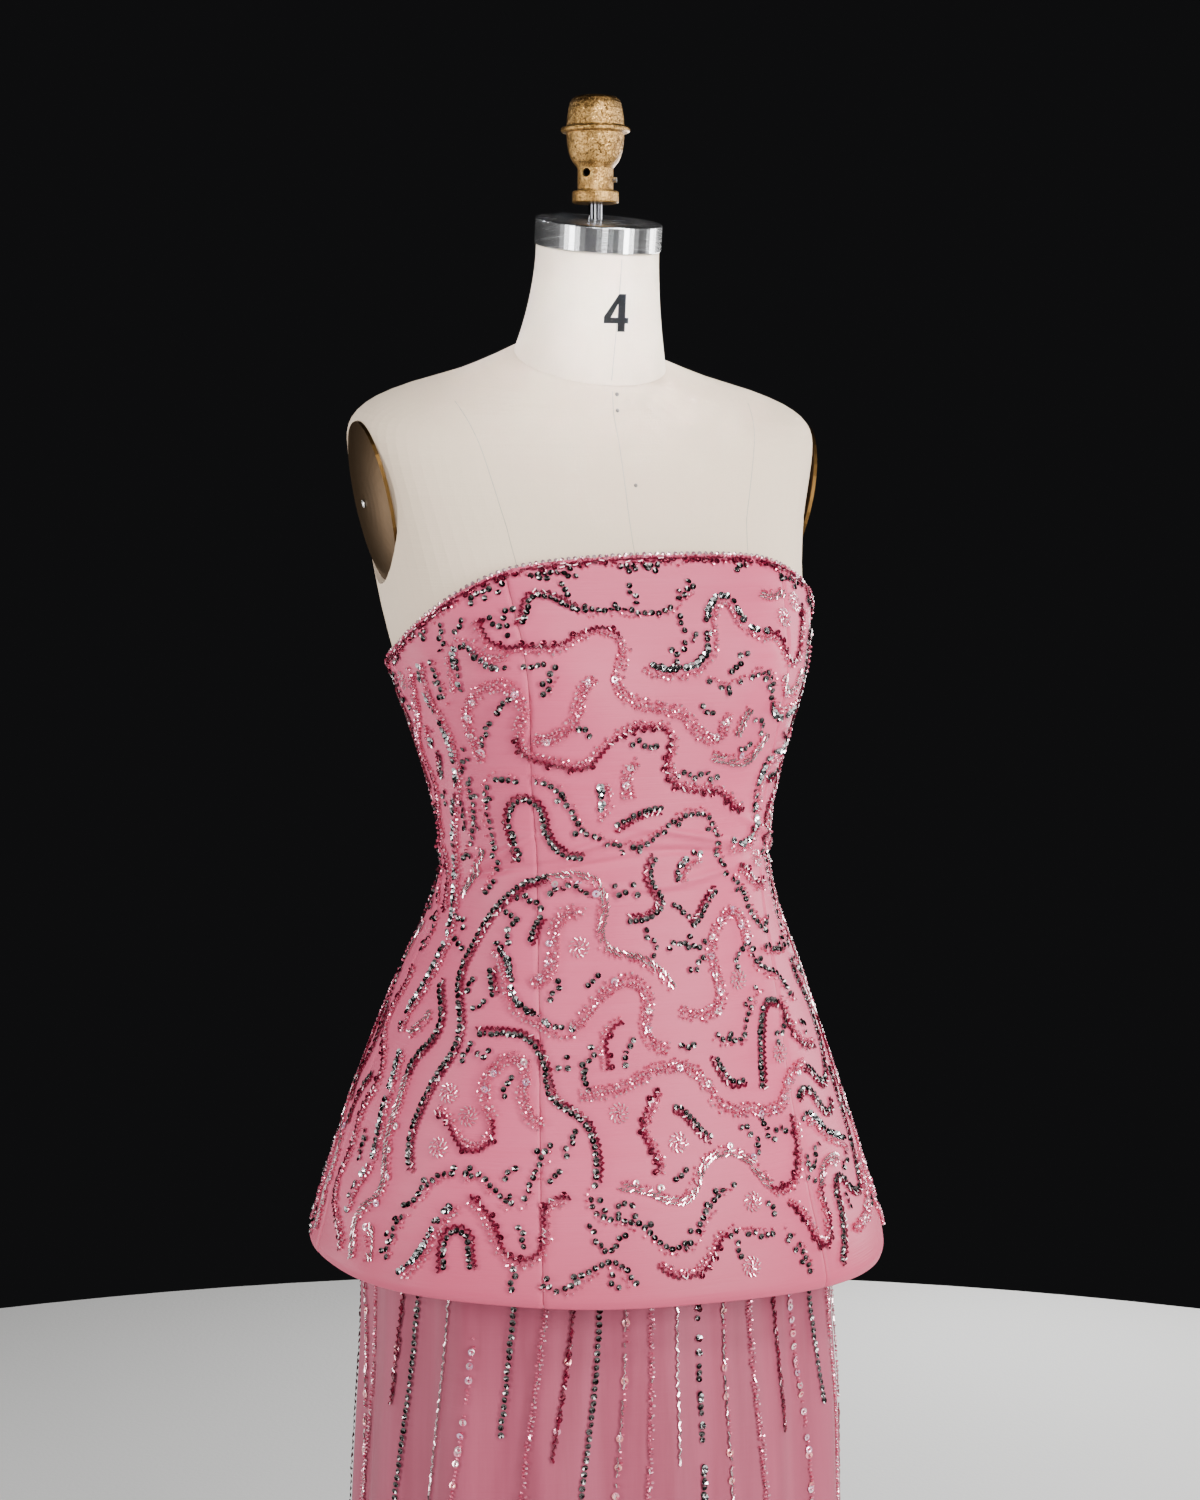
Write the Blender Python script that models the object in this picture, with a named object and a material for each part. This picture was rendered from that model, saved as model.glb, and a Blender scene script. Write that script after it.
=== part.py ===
"""A two-piece evening gown, a strapless peplum top over a long slim skirt, on a limbless dress form.

Metres, +Z up. The origin is on the floor under the stand's pole. The front of the gown faces -Y and
the wearer's left is +X. Cloth and form are drawn as level rings, and every point of them is found
from an angle round the body (0 at centre front, growing towards the wearer's left) and a height.
"""
import math
from collections import namedtuple

import bmesh
import bpy
from mathutils import Matrix, Vector

for leftover in list(bpy.data.objects):
    bpy.data.objects.remove(leftover, do_unlink=True)

# ---------------------------------------------------------------- sizes, in metres and radians

SEAM_GAP = 0.0003            # between two pieces that are sewn or seated together
TOP_WALL = 0.003             # the top: beaded cloth on a stiff backing, boned
SKIRT_WALL = 0.0015          # the skirt: beaded net over one layer of satin
WAISTBAND_WALL = 0.0018
WAISTBAND_CLEAR = 0.0007      # from the form, which its flat facets use up in part
PROBE = 0.0015               # step used to measure a surface's slope

QUARTER = math.pi / 2
HALF_TURN = math.pi

# One level ring of a form: half its width, how far it reaches in front of the pole and behind it,
# how square it is (2 is an ellipse) and how much it rises towards the back.
Ring = namedtuple("Ring", "height half_width front back squareness rise", defaults=(0.0,))

FIGURE = (
    Ring(0.700, 0.1360, 0.1040, 0.0960, 2.10),
    Ring(0.710, 0.1510, 0.1160, 0.1090, 2.15),
    Ring(0.740, 0.1580, 0.1210, 0.1150, 2.20),
    Ring(0.800, 0.1650, 0.1270, 0.1270, 2.20),      # seat
    Ring(0.860, 0.1650, 0.1290, 0.1300, 2.20),      # hip
    Ring(0.920, 0.1510, 0.1230, 0.1170, 2.20),
    Ring(0.960, 0.1395, 0.1200, 0.1030, 2.20),
    Ring(0.990, 0.1300, 0.1160, 0.0920, 2.20),
    Ring(1.025, 0.1180, 0.1110, 0.0795, 2.20),
    Ring(1.055, 0.1112, 0.1085, 0.0710, 2.20),      # waist
    Ring(1.085, 0.1120, 0.1080, 0.0725, 2.20),
    Ring(1.120, 0.1190, 0.1080, 0.0795, 2.25),
    Ring(1.160, 0.1305, 0.1070, 0.0875, 2.30),
    Ring(1.200, 0.1435, 0.1030, 0.0960, 2.35),      # bust
    Ring(1.240, 0.1520, 0.0940, 0.1040, 2.40),
    Ring(1.270, 0.1550, 0.0820, 0.1090, 2.60),
    Ring(1.303, 0.1600, 0.0695, 0.1120, 2.80),
    Ring(1.320, 0.1630, 0.0645, 0.1120, 3.00),      # armhole
    Ring(1.340, 0.1678, 0.0590, 0.1095, 3.00),
    Ring(1.356, 0.1708, 0.0545, 0.1050, 2.85, 0.03),
    Ring(1.366, 0.1706, 0.0510, 0.1010, 2.60, 0.07),
    Ring(1.374, 0.1655, 0.0485, 0.0965, 2.36, 0.12),
    Ring(1.381, 0.1535, 0.0467, 0.0920, 2.18, 0.18),
    Ring(1.388, 0.1325, 0.0452, 0.0868, 2.08, 0.22),
    Ring(1.397, 0.0980, 0.0445, 0.0790, 2.00, 0.25),
    Ring(1.407, 0.0650, 0.0437, 0.0710, 2.00, 0.32),
    Ring(1.4105, 0.0540, 0.0430, 0.0650, 2.00, 0.37),      # neck seam
)
FORM_COLUMNS = 72
WAISTBAND_COLUMNS = 48
WAIST = 1.055
WAISTBAND_LOW = 1.0403
WAISTBAND_HIGH = 1.0700
HIP = 0.860
BUST_HEIGHT = 1.205
BUST_APART = 0.083           # each bust point's distance from centre front
BUST_WIDE = 0.062
BUST_TALL = 0.056
BUST_FULL = 0.017
BUST_FACES = (-0.15, 0.35)     # cosines between which the swell fades in towards the front

PEPLUM = (                   # outside of the cloth, from the hem up to the waist
    Ring(0.765, 0.2130, 0.1775, 0.1650, 2.20),
    Ring(0.790, 0.2100, 0.1735, 0.1625, 2.18),
    Ring(0.810, 0.2040, 0.1680, 0.1590, 2.15),
    Ring(0.830, 0.1990, 0.1610, 0.1550, 2.10),
    Ring(0.870, 0.1855, 0.1490, 0.1450, 2.15),
    Ring(0.910, 0.1715, 0.1390, 0.1330, 2.15),
    Ring(0.950, 0.1560, 0.1320, 0.1180, 2.20),
    Ring(0.990, 0.1405, 0.1245, 0.1020, 2.20),
    Ring(1.025, 0.1260, 0.1185, 0.0880, 2.20),
)
PEPLUM_HEM = 0.7775
PEPLUM_HEM_DROP = 0.0095     # the hem hangs this much lower at the wearer's left
TOP_EASE_WAIST = 0.0068      # outside of the top from the form, over the waistband
TOP_EASE_BUST = 0.0058       # and where it lies close, from here up
TOP_CLOSE_FROM = 1.120
TOP_EDGE = (                 # angle from centre front, height of the strapless edge there
    (0.0, 1.2785),
    (17.0, 1.2765),
    (30.0, 1.2722),
    (44.0, 1.2620),
    (60.0, 1.2465),
    (75.0, 1.2310),
    (90.0, 1.2170),
    (112.0, 1.2030),
    (145.0, 1.1970),
    (180.0, 1.1950),
)
TOP_EDGE_LIFT = 0.0055       # the edge sits this much higher at the wearer's left
PRINCESS = (                 # height, distance of the princess seams from the middle
    (0.765, 0.107),
    (0.890, 0.096),
    (0.980, 0.090),
    (1.070, 0.086),
    (1.130, 0.091),
    (1.200, 0.098),
    (1.280, 0.105),
)
FRONT_SHIFT = 0.008          # the front panel sits this far over to the wearer's left
SIDE_SEAM = math.radians(92)

SKIRT = (                    # middle of the folds, outside of the cloth
    Ring(0.012, 0.2130, 0.1950, 0.1850, 2.00),
    Ring(0.200, 0.2000, 0.1810, 0.1680, 2.00),
    Ring(0.400, 0.1885, 0.1670, 0.1520, 2.05),
    Ring(0.540, 0.1805, 0.1570, 0.1400, 2.10),
    Ring(0.600, 0.1790, 0.1520, 0.1370, 2.10),
    Ring(0.660, 0.1760, 0.1485, 0.1325, 2.15),
    Ring(0.720, 0.1725, 0.1440, 0.1310, 2.15),
    Ring(0.780, 0.1710, 0.1390, 0.1325, 2.20),
    Ring(0.840, 0.1705, 0.1345, 0.1345, 2.20),
)
SKIRT_HEM = 0.012
SKIRT_TOP = 1.0400
SKIRT_LEVELS = (0.012, 0.140, 0.320, 0.500, 0.660, 0.770, 0.825, 0.863, 0.895, 0.928, 0.964, 1.002,
                1.040)
SKIRT_EASE = 0.0032          # outside of the skirt from the form, between waist and hip
SKIRT_FOLDS = 14
UNEVEN_FOLDS = 7             # a slower wave that makes the folds uneven
UNEVEN_SHARE = 0.4
UNEVEN_TURN = 0.6
FOLD_DEPTH = (               # height, how far a fold stands out from the middle
    (0.012, 0.0075),
    (0.400, 0.0050),
    (0.700, 0.0028),
    (0.860, 0.0008),
    (0.980, 0.0),
)

NECK_TOP = 1.4928
NECK_TOP_HALF_WIDTH = 0.0424
NECK_TOP_HALF_DEPTH = 0.0488
NECK_STEPS = 9
NECK_FLARE = 1.7             # how late the neck widens towards its foot
NECK_LEANS = 0.004           # the neck's top lies this far in front of the pole
NECK_PLATE_TILT = 0.175      # rise towards the back, per metre
NECK_PLATE_THICK = 0.0184
NECK_PLATE_HALF_WIDTH = 0.0436
NECK_PLATE_HALF_DEPTH = 0.0502
NECK_PLATE_BEVEL = 0.0016
QUARTER_ROUND = ((1.0, 0.0), (0.62, 0.08), (0.29, 0.29), (0.08, 0.62), (0.0, 1.0))   # down, inset

ARM_PLATE_CENTRE = Vector((0.1571, 0.0200, 1.3150))
ARM_PLATE_LEAN = math.radians(11.8)      # the plate's top stands out further than its foot
ARM_PLATE_HALF_DEPTH = 0.0428
ARM_PLATE_HALF_HEIGHT = 0.0570
ARM_PLATE_RIM = 0.0025
ARM_PLATE_DOME = 0.0055
ARM_PLATE_SIZES = (0.985, 0.94, 0.87, 0.77, 0.65, 0.50, 0.33, 0.14)
ARM_RECESS_DEEP = 0.06
ARM_SCREW_RADIUS = 0.0030
ARM_SCREW_THICK = 0.0013
ARM_SCREW_PROFILE = ((1.0, 0.0), (1.0, 0.5), (0.85, 0.8), (0.5, 1.0))    # shares of the two sizes

SPINDLE_RADIUS = 0.005
FINIAL_FOOT = 1.5230
FINIAL_NECK_RADIUS = 0.0126
FINIAL = (                   # radius, height above the finial's foot
    (0.0154, 0.0000),
    (0.0164, 0.0009),
    (0.0164, 0.0074),
    (0.0157, 0.0084),
    (0.0130, 0.0088),
    (FINIAL_NECK_RADIUS, 0.0095),
    (FINIAL_NECK_RADIUS, 0.0240),
    (0.0135, 0.0255),
    (0.0159, 0.0284),
    (0.0178, 0.0320),
    (0.0191, 0.0362),
    (0.0199, 0.0410),
    (0.0203, 0.0470),
    (0.0206, 0.0484),
    (0.0232, 0.0488),
    (0.0241, 0.0496),
    (0.0243, 0.0507),
    (0.0241, 0.0517),
    (0.0233, 0.0525),
    (0.0209, 0.0529),
    (0.0203, 0.0538),
    (0.0199, 0.0590),
    (0.0191, 0.0650),
    (0.0181, 0.0693),
    (0.0167, 0.0719),
    (0.0145, 0.0735),
    (0.0100, 0.0744),
    (0.0050, 0.0747),
)
FINIAL_COLUMNS = 48
FINIAL_HOLE_RADIUS = 0.0021
FINIAL_HOLE_DEEP = 0.008
FINIAL_HOLE_TURN = math.radians(-51)
FINIAL_HOLE_UP = 0.0206
SET_SCREW_RADIUS = 0.0019
SET_SCREW_LONG = 0.0024
SET_SCREW_TURN = math.radians(56)
SET_SCREW_UP = 0.0160
DRILL_CLEAR = 0.006          # how far a cutting tool starts outside the piece

POLE_RADIUS = 0.016
FLANGE_RADIUS = 0.050
FLANGE_THICK = 0.010
FORM_FOOT = FIGURE[0].height
BASE = (                     # radius, height: a heavy round foot
    (0.1650, 0.0000),
    (0.1650, 0.0080),
    (0.1600, 0.0120),
    (0.1050, 0.0200),
    (0.0500, 0.0290),
    (0.0260, 0.0360),
    (0.0240, 0.0500),
)

ZIP_WIDTH = 0.0064
TOP_ROWS = 14
TOP_ZIP_ROWS = 10              # rows of the back, from the top edge down, that the zip parts
SKIRT_ZIP_LOW = SKIRT_LEVELS[8]
SLIDER_TOP = 1.1900
SLIDER_WIDTH = 0.0066
SLIDER_TALL = 0.0105
SLIDER_THICK = 0.0024
LUG_THICK = 0.0011
LUG_OUT = 0.0032
LUG_TALL = 0.0030
LUG_SUNK = 0.0006            # of the lug's root in the slider
PIN_FROM_LUG_END = 0.0012
PIN_FROM_SLIDER_TOP = 0.0025
PIN_RADIUS = 0.0006
KNUCKLE_INNER = 0.0009
KNUCKLE_OUTER = 0.0017
PULL_WIDTH = 0.0032
PULL_LONG = 0.0200
PULL_THICK = 0.0010
PULL_FOOT_FLARE = 1.45       # the pull's foot is this much wider than its knuckle

# ---------------------------------------------------------------- materials


def material(name, colour, roughness, metallic=0.0):
    made = bpy.data.materials.new(name)
    made.use_nodes = True
    shader = made.node_tree.nodes["Principled BSDF"]
    shader.inputs["Base Color"].default_value = (*colour, 1.0)
    shader.inputs["Roughness"].default_value = roughness
    shader.inputs["Metallic"].default_value = metallic
    made.diffuse_color = (*colour, 1.0)
    return made


PINK_FAILLE = material("pink_faille", (0.66, 0.23, 0.29), 0.55)
DUSTY_SATIN = material("dusty_pink_satin", (0.50, 0.17, 0.23), 0.50)
PINK_TAPE = material("pink_tape", (0.55, 0.19, 0.25), 0.70)
LINEN = material("linen_cover", (0.78, 0.75, 0.70), 0.85)
POLISHED_STEEL = material("polished_steel", (0.62, 0.62, 0.62), 0.18, 1.0)
CAST_BRASS = material("cast_brass", (0.52, 0.34, 0.14), 0.42, 1.0)
BRONZE_PLATE = material("bronze_plate", (0.36, 0.24, 0.10), 0.38, 1.0)
SCREW_STEEL = material("screw_steel", (0.55, 0.55, 0.55), 0.30, 1.0)
BLACK_IRON = material("black_iron", (0.03, 0.03, 0.03), 0.55, 0.4)
ZIP_METAL = material("zip_metal", (0.58, 0.50, 0.46), 0.30, 1.0)

# ---------------------------------------------------------------- rings and surfaces


def eased(rows, at):
    """Value or values of a table at a height, on a smooth curve through its rows."""
    last = len(rows) - 1
    at = min(max(at, rows[0][0]), rows[last][0])
    k = next(i for i in range(last) if at <= rows[i + 1][0])
    low, high = rows[k], rows[k + 1]
    before, after = rows[max(k - 1, 0)], rows[min(k + 2, last)]
    span = high[0] - low[0]
    t = (at - low[0]) / span
    values = [at]
    for c in range(1, len(low)):
        slope_low = (high[c] - before[c]) / (high[0] - before[0])
        slope_high = (after[c] - low[c]) / (after[0] - low[0])
        values.append(
            (2 * t**3 - 3 * t**2 + 1) * low[c]
            + (t**3 - 2 * t**2 + t) * span * slope_low
            + (3 * t**2 - 2 * t**3) * high[c]
            + (t**3 - t**2) * span * slope_high
        )
    return values


def signed_power(value, power):
    return math.copysign(abs(value) ** power, value)


def on_ring(ring, angle):
    """Point of a ring: a superellipse, deeper in front or behind, that may rise to the back."""
    power = 2 / ring.squareness
    depth = (ring.front + ring.back) / 2
    x = ring.half_width * signed_power(math.sin(angle), power)
    y = (ring.back - ring.front) / 2 - depth * signed_power(math.cos(angle), power)
    return Vector((x, y, ring.height + ring.rise * y))


def bust_swell(x, height, angle):
    """How far the bust stands out of the level rings."""
    first, last = BUST_FACES
    facing = min(max((math.cos(angle) - first) / (last - first), 0.0), 1.0)
    lift = math.exp(-(((height - BUST_HEIGHT) / BUST_TALL) ** 2))
    pair = sum(math.exp(-(((x - side * BUST_APART) / BUST_WIDE) ** 2)) for side in (-1, 1))
    return BUST_FULL * facing * lift * pair


def widened(ring, ease):
    return ring._replace(
        half_width=ring.half_width + ease, front=ring.front + ease, back=ring.back + ease
    )


def figure_surface(angle, height):
    point = on_ring(Ring(*eased(FIGURE, height)), angle)
    point.y -= bust_swell(point.x, height, angle)
    return point


def top_ease(height):
    share = (height - WAIST) / (TOP_CLOSE_FROM - WAIST)
    share = min(max(share, 0.0), 1.0)
    return TOP_EASE_WAIST + (TOP_EASE_BUST - TOP_EASE_WAIST) * share


TOP = PEPLUM + tuple(widened(ring, top_ease(ring.height)) for ring in FIGURE if ring.height >= WAIST)
SKIRT_WHOLE = SKIRT + tuple(
    widened(ring, SKIRT_EASE) for ring in FIGURE if HIP <= ring.height <= WAIST
)


def top_surface(angle, height):
    point = on_ring(Ring(*eased(TOP, height)), angle)
    point.y -= bust_swell(point.x, height, angle)
    return point


def skirt_surface(angle, height):
    point = on_ring(Ring(*eased(SKIRT_WHOLE, height)), angle)
    depth = eased(FOLD_DEPTH, height)[1]
    wave = math.cos(SKIRT_FOLDS * angle)
    wave += UNEVEN_SHARE * math.sin(UNEVEN_FOLDS * angle + UNEVEN_TURN)
    outward = Vector((point.x, point.y, 0.0)).normalized()
    return point + outward * (depth * wave)


def waistband_surface(angle, height):
    ring = Ring(*eased(FIGURE, height))
    return on_ring(widened(ring, WAISTBAND_WALL + WAISTBAND_CLEAR), angle)


def frame_at(surface, angle, height):
    """Point of a surface with its directions: along the ring, and straight out of the cloth."""
    along = surface(angle + PROBE, height) - surface(angle - PROBE, height)
    up = surface(angle, height + PROBE) - surface(angle, height - PROBE)
    along.normalize()
    return surface(angle, height), along, along.cross(up).normalized()


# ---------------------------------------------------------------- edges of the pieces


def top_edge_height(angle):
    return eased(TOP_EDGE, math.degrees(abs(angle)))[1] + TOP_EDGE_LIFT * math.sin(angle)


def peplum_hem_height(angle):
    return PEPLUM_HEM - PEPLUM_HEM_DROP * math.sin(angle)


def princess_angle(height, shift=0.0):
    """Angle of a princess seam at a height, from its distance from the middle."""
    ring = Ring(*eased(TOP, height))
    share = (eased(PRINCESS, height)[1] + shift) / ring.half_width
    return math.asin(share ** (ring.squareness / 2))


def fixed(value):
    return lambda _: value


def princess(side, behind=False):
    if behind:
        return lambda height: side * (HALF_TURN - princess_angle(height))
    return lambda height: side * princess_angle(height, side * FRONT_SHIFT)


def sewn(_):
    return SEAM_GAP / 2


def zipped(low):
    """How far an edge keeps from the centre back line: room for a zip, and a plain seam below it."""
    room = ZIP_WIDTH / 2 + SEAM_GAP
    return lambda height: room if height > low - SEAM_GAP else SEAM_GAP / 2


def top_zip_low():
    hem, edge = peplum_hem_height(HALF_TURN), top_edge_height(HALF_TURN)
    return edge - (edge - hem) * TOP_ZIP_ROWS / TOP_ROWS


# ---------------------------------------------------------------- making meshes


def finish(name, mesh, coat, smooth=True, sharp_over=40):
    made = bpy.data.meshes.new(name)
    mesh.normal_update()
    bmesh.ops.recalc_face_normals(mesh, faces=mesh.faces)
    mesh.to_mesh(made)
    mesh.free()
    thing = bpy.data.objects.new(name, made)
    bpy.context.scene.collection.objects.link(thing)
    thing.data.materials.append(coat)
    if smooth:
        made.shade_smooth()
        made.set_sharp_from_angle(angle=math.radians(sharp_over))
    return thing


def closed_from_rings(rings):
    """A closed skin through rings of points that all have the same count."""
    mesh = bmesh.new()
    grid = [[mesh.verts.new(point) for point in ring] for ring in rings]
    count = len(grid[0])
    for low, high in zip(grid, grid[1:]):
        for k in range(count):
            mesh.faces.new((low[k], low[(k + 1) % count], high[(k + 1) % count], high[k]))
    mesh.faces.new(list(reversed(grid[0])))
    mesh.faces.new(grid[-1])
    return mesh


def turned(profile, steps, foot=0.0):
    """A closed turned solid from its radius and height pairs, round the Z axis."""
    angles = [2 * math.pi * k / steps for k in range(steps)]
    rings = [
        [Vector((r * math.sin(a), -r * math.cos(a), foot + z)) for a in angles] for r, z in profile
    ]
    return closed_from_rings(rings)


def even(rows):
    return [j / rows for j in range(rows + 1)]


def cloth_panel(name, surface, coat, wall, left, right, bottom, top, columns, levels,
                left_keeps=sewn, right_keeps=sewn):
    """One cut piece as a closed sheet: its edges are functions, its outside is the surface.

    Levels are shares of the way from the bottom edge to the top edge, from 0 to 1.
    """
    outer, inner = [], []
    middle = (bottom(0.0) + top(0.0)) / 2
    rows = len(levels) - 1
    for j, level in enumerate(levels):
        outer.append([])
        inner.append([])
        for i in range(columns + 1):
            share = i / columns
            height = middle
            for _ in range(4):
                angle = left(height) + (right(height) - left(height)) * share
                height = bottom(angle) + (top(angle) - bottom(angle)) * level
            point, along, out = frame_at(surface, angle, height)
            if i == 0:
                point = point + along * left_keeps(height)
            if i == columns:
                point = point - along * right_keeps(height)
            outer[j].append(point)
            inner[j].append(point - out * wall)
    mesh = bmesh.new()
    front = [[mesh.verts.new(p) for p in line] for line in outer]
    back = [[mesh.verts.new(p) for p in line] for line in inner]
    for j in range(rows):
        for i in range(columns):
            mesh.faces.new((front[j][i], front[j][i + 1], front[j + 1][i + 1], front[j + 1][i]))
            mesh.faces.new((back[j][i], back[j + 1][i], back[j + 1][i + 1], back[j][i + 1]))
    for j in range(rows):
        mesh.faces.new((front[j][0], front[j + 1][0], back[j + 1][0], back[j][0]))
        mesh.faces.new((front[j][-1], back[j][-1], back[j + 1][-1], front[j + 1][-1]))
    for i in range(columns):
        mesh.faces.new((front[0][i], back[0][i], back[0][i + 1], front[0][i + 1]))
        mesh.faces.new((front[-1][i], front[-1][i + 1], back[-1][i + 1], back[-1][i]))
    finish(name, mesh, coat)


def tape(name, surface, coat, wall, low, high, steps):
    """A flat strip down the centre back line, as thick as the cloth beside it."""
    rings = []
    for k in range(steps + 1):
        point, along, out = frame_at(surface, HALF_TURN, low + (high - low) * k / steps)
        side = along * (ZIP_WIDTH / 2)
        rings.append([point - side, point + side, point + side - out * wall, point - side - out * wall])
    finish(name, closed_from_rings(rings), coat, smooth=False)


# ---------------------------------------------------------------- the dress form and its stand


def modify(thing, kind, **settings):
    modifier = thing.modifiers.new(kind.lower(), kind)
    for key, value in settings.items():
        setattr(modifier, key, value)


def cutter(name, mesh, matrix):
    tool = finish(name, mesh, BLACK_IRON, smooth=False)
    tool.matrix_world = matrix
    tool.hide_render = True
    tool.display_type = "WIRE"
    return tool


def arm_plate_frame(side):
    """Matrix of an arm plate: X along its depth, Y up its slope, Z straight out of the form."""
    up = Vector((side * math.sin(ARM_PLATE_LEAN), 0.0, math.cos(ARM_PLATE_LEAN)))
    out = Vector((side * math.cos(ARM_PLATE_LEAN), 0.0, -math.sin(ARM_PLATE_LEAN)))
    across = up.cross(out)
    turn = Matrix((across, up, out)).transposed().to_4x4()
    centre = Vector((side * ARM_PLATE_CENTRE.x, ARM_PLATE_CENTRE.y, ARM_PLATE_CENTRE.z))
    return Matrix.Translation(centre) @ turn


def oval_rings(levels, steps=40):
    """Rings of the arm plate's oval, from pairs of size and height."""
    angles = [2 * math.pi * k / steps for k in range(steps)]
    return [
        [
            Vector((
                size * ARM_PLATE_HALF_DEPTH * math.cos(a),
                size * ARM_PLATE_HALF_HEIGHT * math.sin(a),
                height,
            ))
            for a in angles
        ]
        for size, height in levels
    ]


def make_torso():
    heights = [ring.height for ring in FIGURE]
    heights += [(low + high) / 2 for low, high in zip(heights, heights[1:])]
    angles = [-HALF_TURN + 2 * HALF_TURN * k / FORM_COLUMNS for k in range(FORM_COLUMNS)]
    rings = [[figure_surface(a, height) for a in angles] for height in sorted(heights)]
    torso = finish("form_torso", closed_from_rings(rings), LINEN)
    recess = 1 + SEAM_GAP / ARM_PLATE_HALF_DEPTH
    for side, word in ((-1, "right"), (1, "left")):
        deep = oval_rings([(recess, -SEAM_GAP), (recess, ARM_RECESS_DEEP)])
        tool = cutter(f"arm_recess_{word}", closed_from_rings(deep), arm_plate_frame(side))
        modify(torso, "BOOLEAN", operation="DIFFERENCE", solver="EXACT", object=tool)


def make_neck():
    foot = FIGURE[-1]
    foot = foot._replace(height=foot.height + SEAM_GAP)
    crown = Ring(NECK_TOP, NECK_TOP_HALF_WIDTH, NECK_TOP_HALF_DEPTH + NECK_LEANS,
                 NECK_TOP_HALF_DEPTH - NECK_LEANS, 2.0, NECK_PLATE_TILT)
    angles = [2 * math.pi * k / FORM_COLUMNS for k in range(FORM_COLUMNS)]
    rings = []
    for k in range(NECK_STEPS + 1):
        share = k / NECK_STEPS
        flare = (1 - share) ** NECK_FLARE
        ring = Ring(
            foot.height + (crown.height - foot.height) * share,
            crown.half_width + (foot.half_width - crown.half_width) * flare,
            crown.front + (foot.front - crown.front) * (1 - share),
            crown.back + (foot.back - crown.back) * flare,
            2.0,
            foot.rise + (crown.rise - foot.rise) * share,
        )
        rings.append([on_ring(ring, a) for a in angles])
    finish("form_neck", closed_from_rings(rings), LINEN)


def make_neck_plate():
    low = NECK_TOP + SEAM_GAP
    top = low + NECK_PLATE_THICK
    bevel = NECK_PLATE_BEVEL
    angles = [2 * math.pi * k / FORM_COLUMNS for k in range(FORM_COLUMNS)]
    rings = []
    rim = [(top - bevel * down, bevel * inset) for down, inset in QUARTER_ROUND]
    for height, inset in [(low, bevel / 2), (low + bevel / 2, 0.0), *rim]:
        half_width = NECK_PLATE_HALF_WIDTH - inset
        half_depth = NECK_PLATE_HALF_DEPTH - inset
        ring = Ring(height, half_width, half_depth + NECK_LEANS, half_depth - NECK_LEANS, 2.0,
                    NECK_PLATE_TILT)
        square_to_tilt = Vector((0.0, -NECK_PLATE_TILT * (height - low), 0.0))
        rings.append([on_ring(ring, a) + square_to_tilt for a in angles])
    finish("neck_plate", closed_from_rings(rings), POLISHED_STEEL)


def make_spindle():
    foot = NECK_TOP + 2 * SEAM_GAP + NECK_PLATE_THICK * (1 + NECK_PLATE_TILT**2)
    angles = [2 * math.pi * k / 24 for k in range(24)]
    low = Ring(foot, SPINDLE_RADIUS, SPINDLE_RADIUS, SPINDLE_RADIUS, 2.0, NECK_PLATE_TILT)
    high = low._replace(height=FINIAL_FOOT - SEAM_GAP, rise=0.0)
    rings = [[on_ring(ring, a) for a in angles] for ring in (low, high)]
    finish("neck_spindle", closed_from_rings(rings), POLISHED_STEEL)


def facing(turn, radius, height):
    """Matrix whose Z points out of the pole's axis at a turn, starting at a radius."""
    spin = Matrix.Rotation(turn, 4, "Z") @ Matrix.Rotation(QUARTER, 4, "X")
    out = Vector((math.sin(turn), -math.cos(turn), 0.0))
    return Matrix.Translation(out * radius + Vector((0, 0, height))) @ spin


def make_finial():
    finial = finish("finial", turned(FINIAL, FINIAL_COLUMNS, FINIAL_FOOT), CAST_BRASS,
                    sharp_over=50)
    hole = turned([(FINIAL_HOLE_RADIUS, -FINIAL_HOLE_DEEP), (FINIAL_HOLE_RADIUS, DRILL_CLEAR)], 16)
    place = facing(FINIAL_HOLE_TURN, FINIAL_NECK_RADIUS, FINIAL_FOOT + FINIAL_HOLE_UP)
    modify(finial, "BOOLEAN", operation="DIFFERENCE", solver="EXACT",
           object=cutter("finial_hole", hole, place))
    screw = turned([(SET_SCREW_RADIUS, 0.0), (SET_SCREW_RADIUS, SET_SCREW_LONG)], 16)
    made = finish("finial_set_screw", screw, SCREW_STEEL)
    made.matrix_world = facing(SET_SCREW_TURN, FINIAL_NECK_RADIUS + SEAM_GAP,
                               FINIAL_FOOT + SET_SCREW_UP)


def make_arm_plates():
    levels = [(1.0, 0.0), (1.0, ARM_PLATE_RIM)]
    for size in ARM_PLATE_SIZES:
        levels.append((size, ARM_PLATE_RIM + ARM_PLATE_DOME * (1 - size**2)))
    crown = levels[-1][1]
    for side, word in ((-1, "right"), (1, "left")):
        plate = finish(f"arm_plate_{word}", closed_from_rings(oval_rings(levels)), BRONZE_PLATE)
        plate.matrix_world = arm_plate_frame(side)
        head = [(ARM_SCREW_RADIUS * r, ARM_SCREW_THICK * h) for r, h in ARM_SCREW_PROFILE]
        screw = finish(f"arm_plate_screw_{word}", turned(head, 16), SCREW_STEEL)
        lift = Matrix.Translation((0, 0, crown + SEAM_GAP))
        screw.matrix_world = arm_plate_frame(side) @ lift


def make_stand():
    finish("stand_base", turned(BASE, 48), BLACK_IRON, sharp_over=30)
    foot = BASE[-1][1] + SEAM_GAP
    head = FORM_FOOT - FLANGE_THICK - 2 * SEAM_GAP
    finish("stand_pole", turned([(POLE_RADIUS, foot), (POLE_RADIUS, head)], 32), POLISHED_STEEL)
    flange = [(FLANGE_RADIUS, head + SEAM_GAP), (FLANGE_RADIUS, head + SEAM_GAP + FLANGE_THICK)]
    finish("form_flange", turned(flange, 40), BLACK_IRON)


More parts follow.
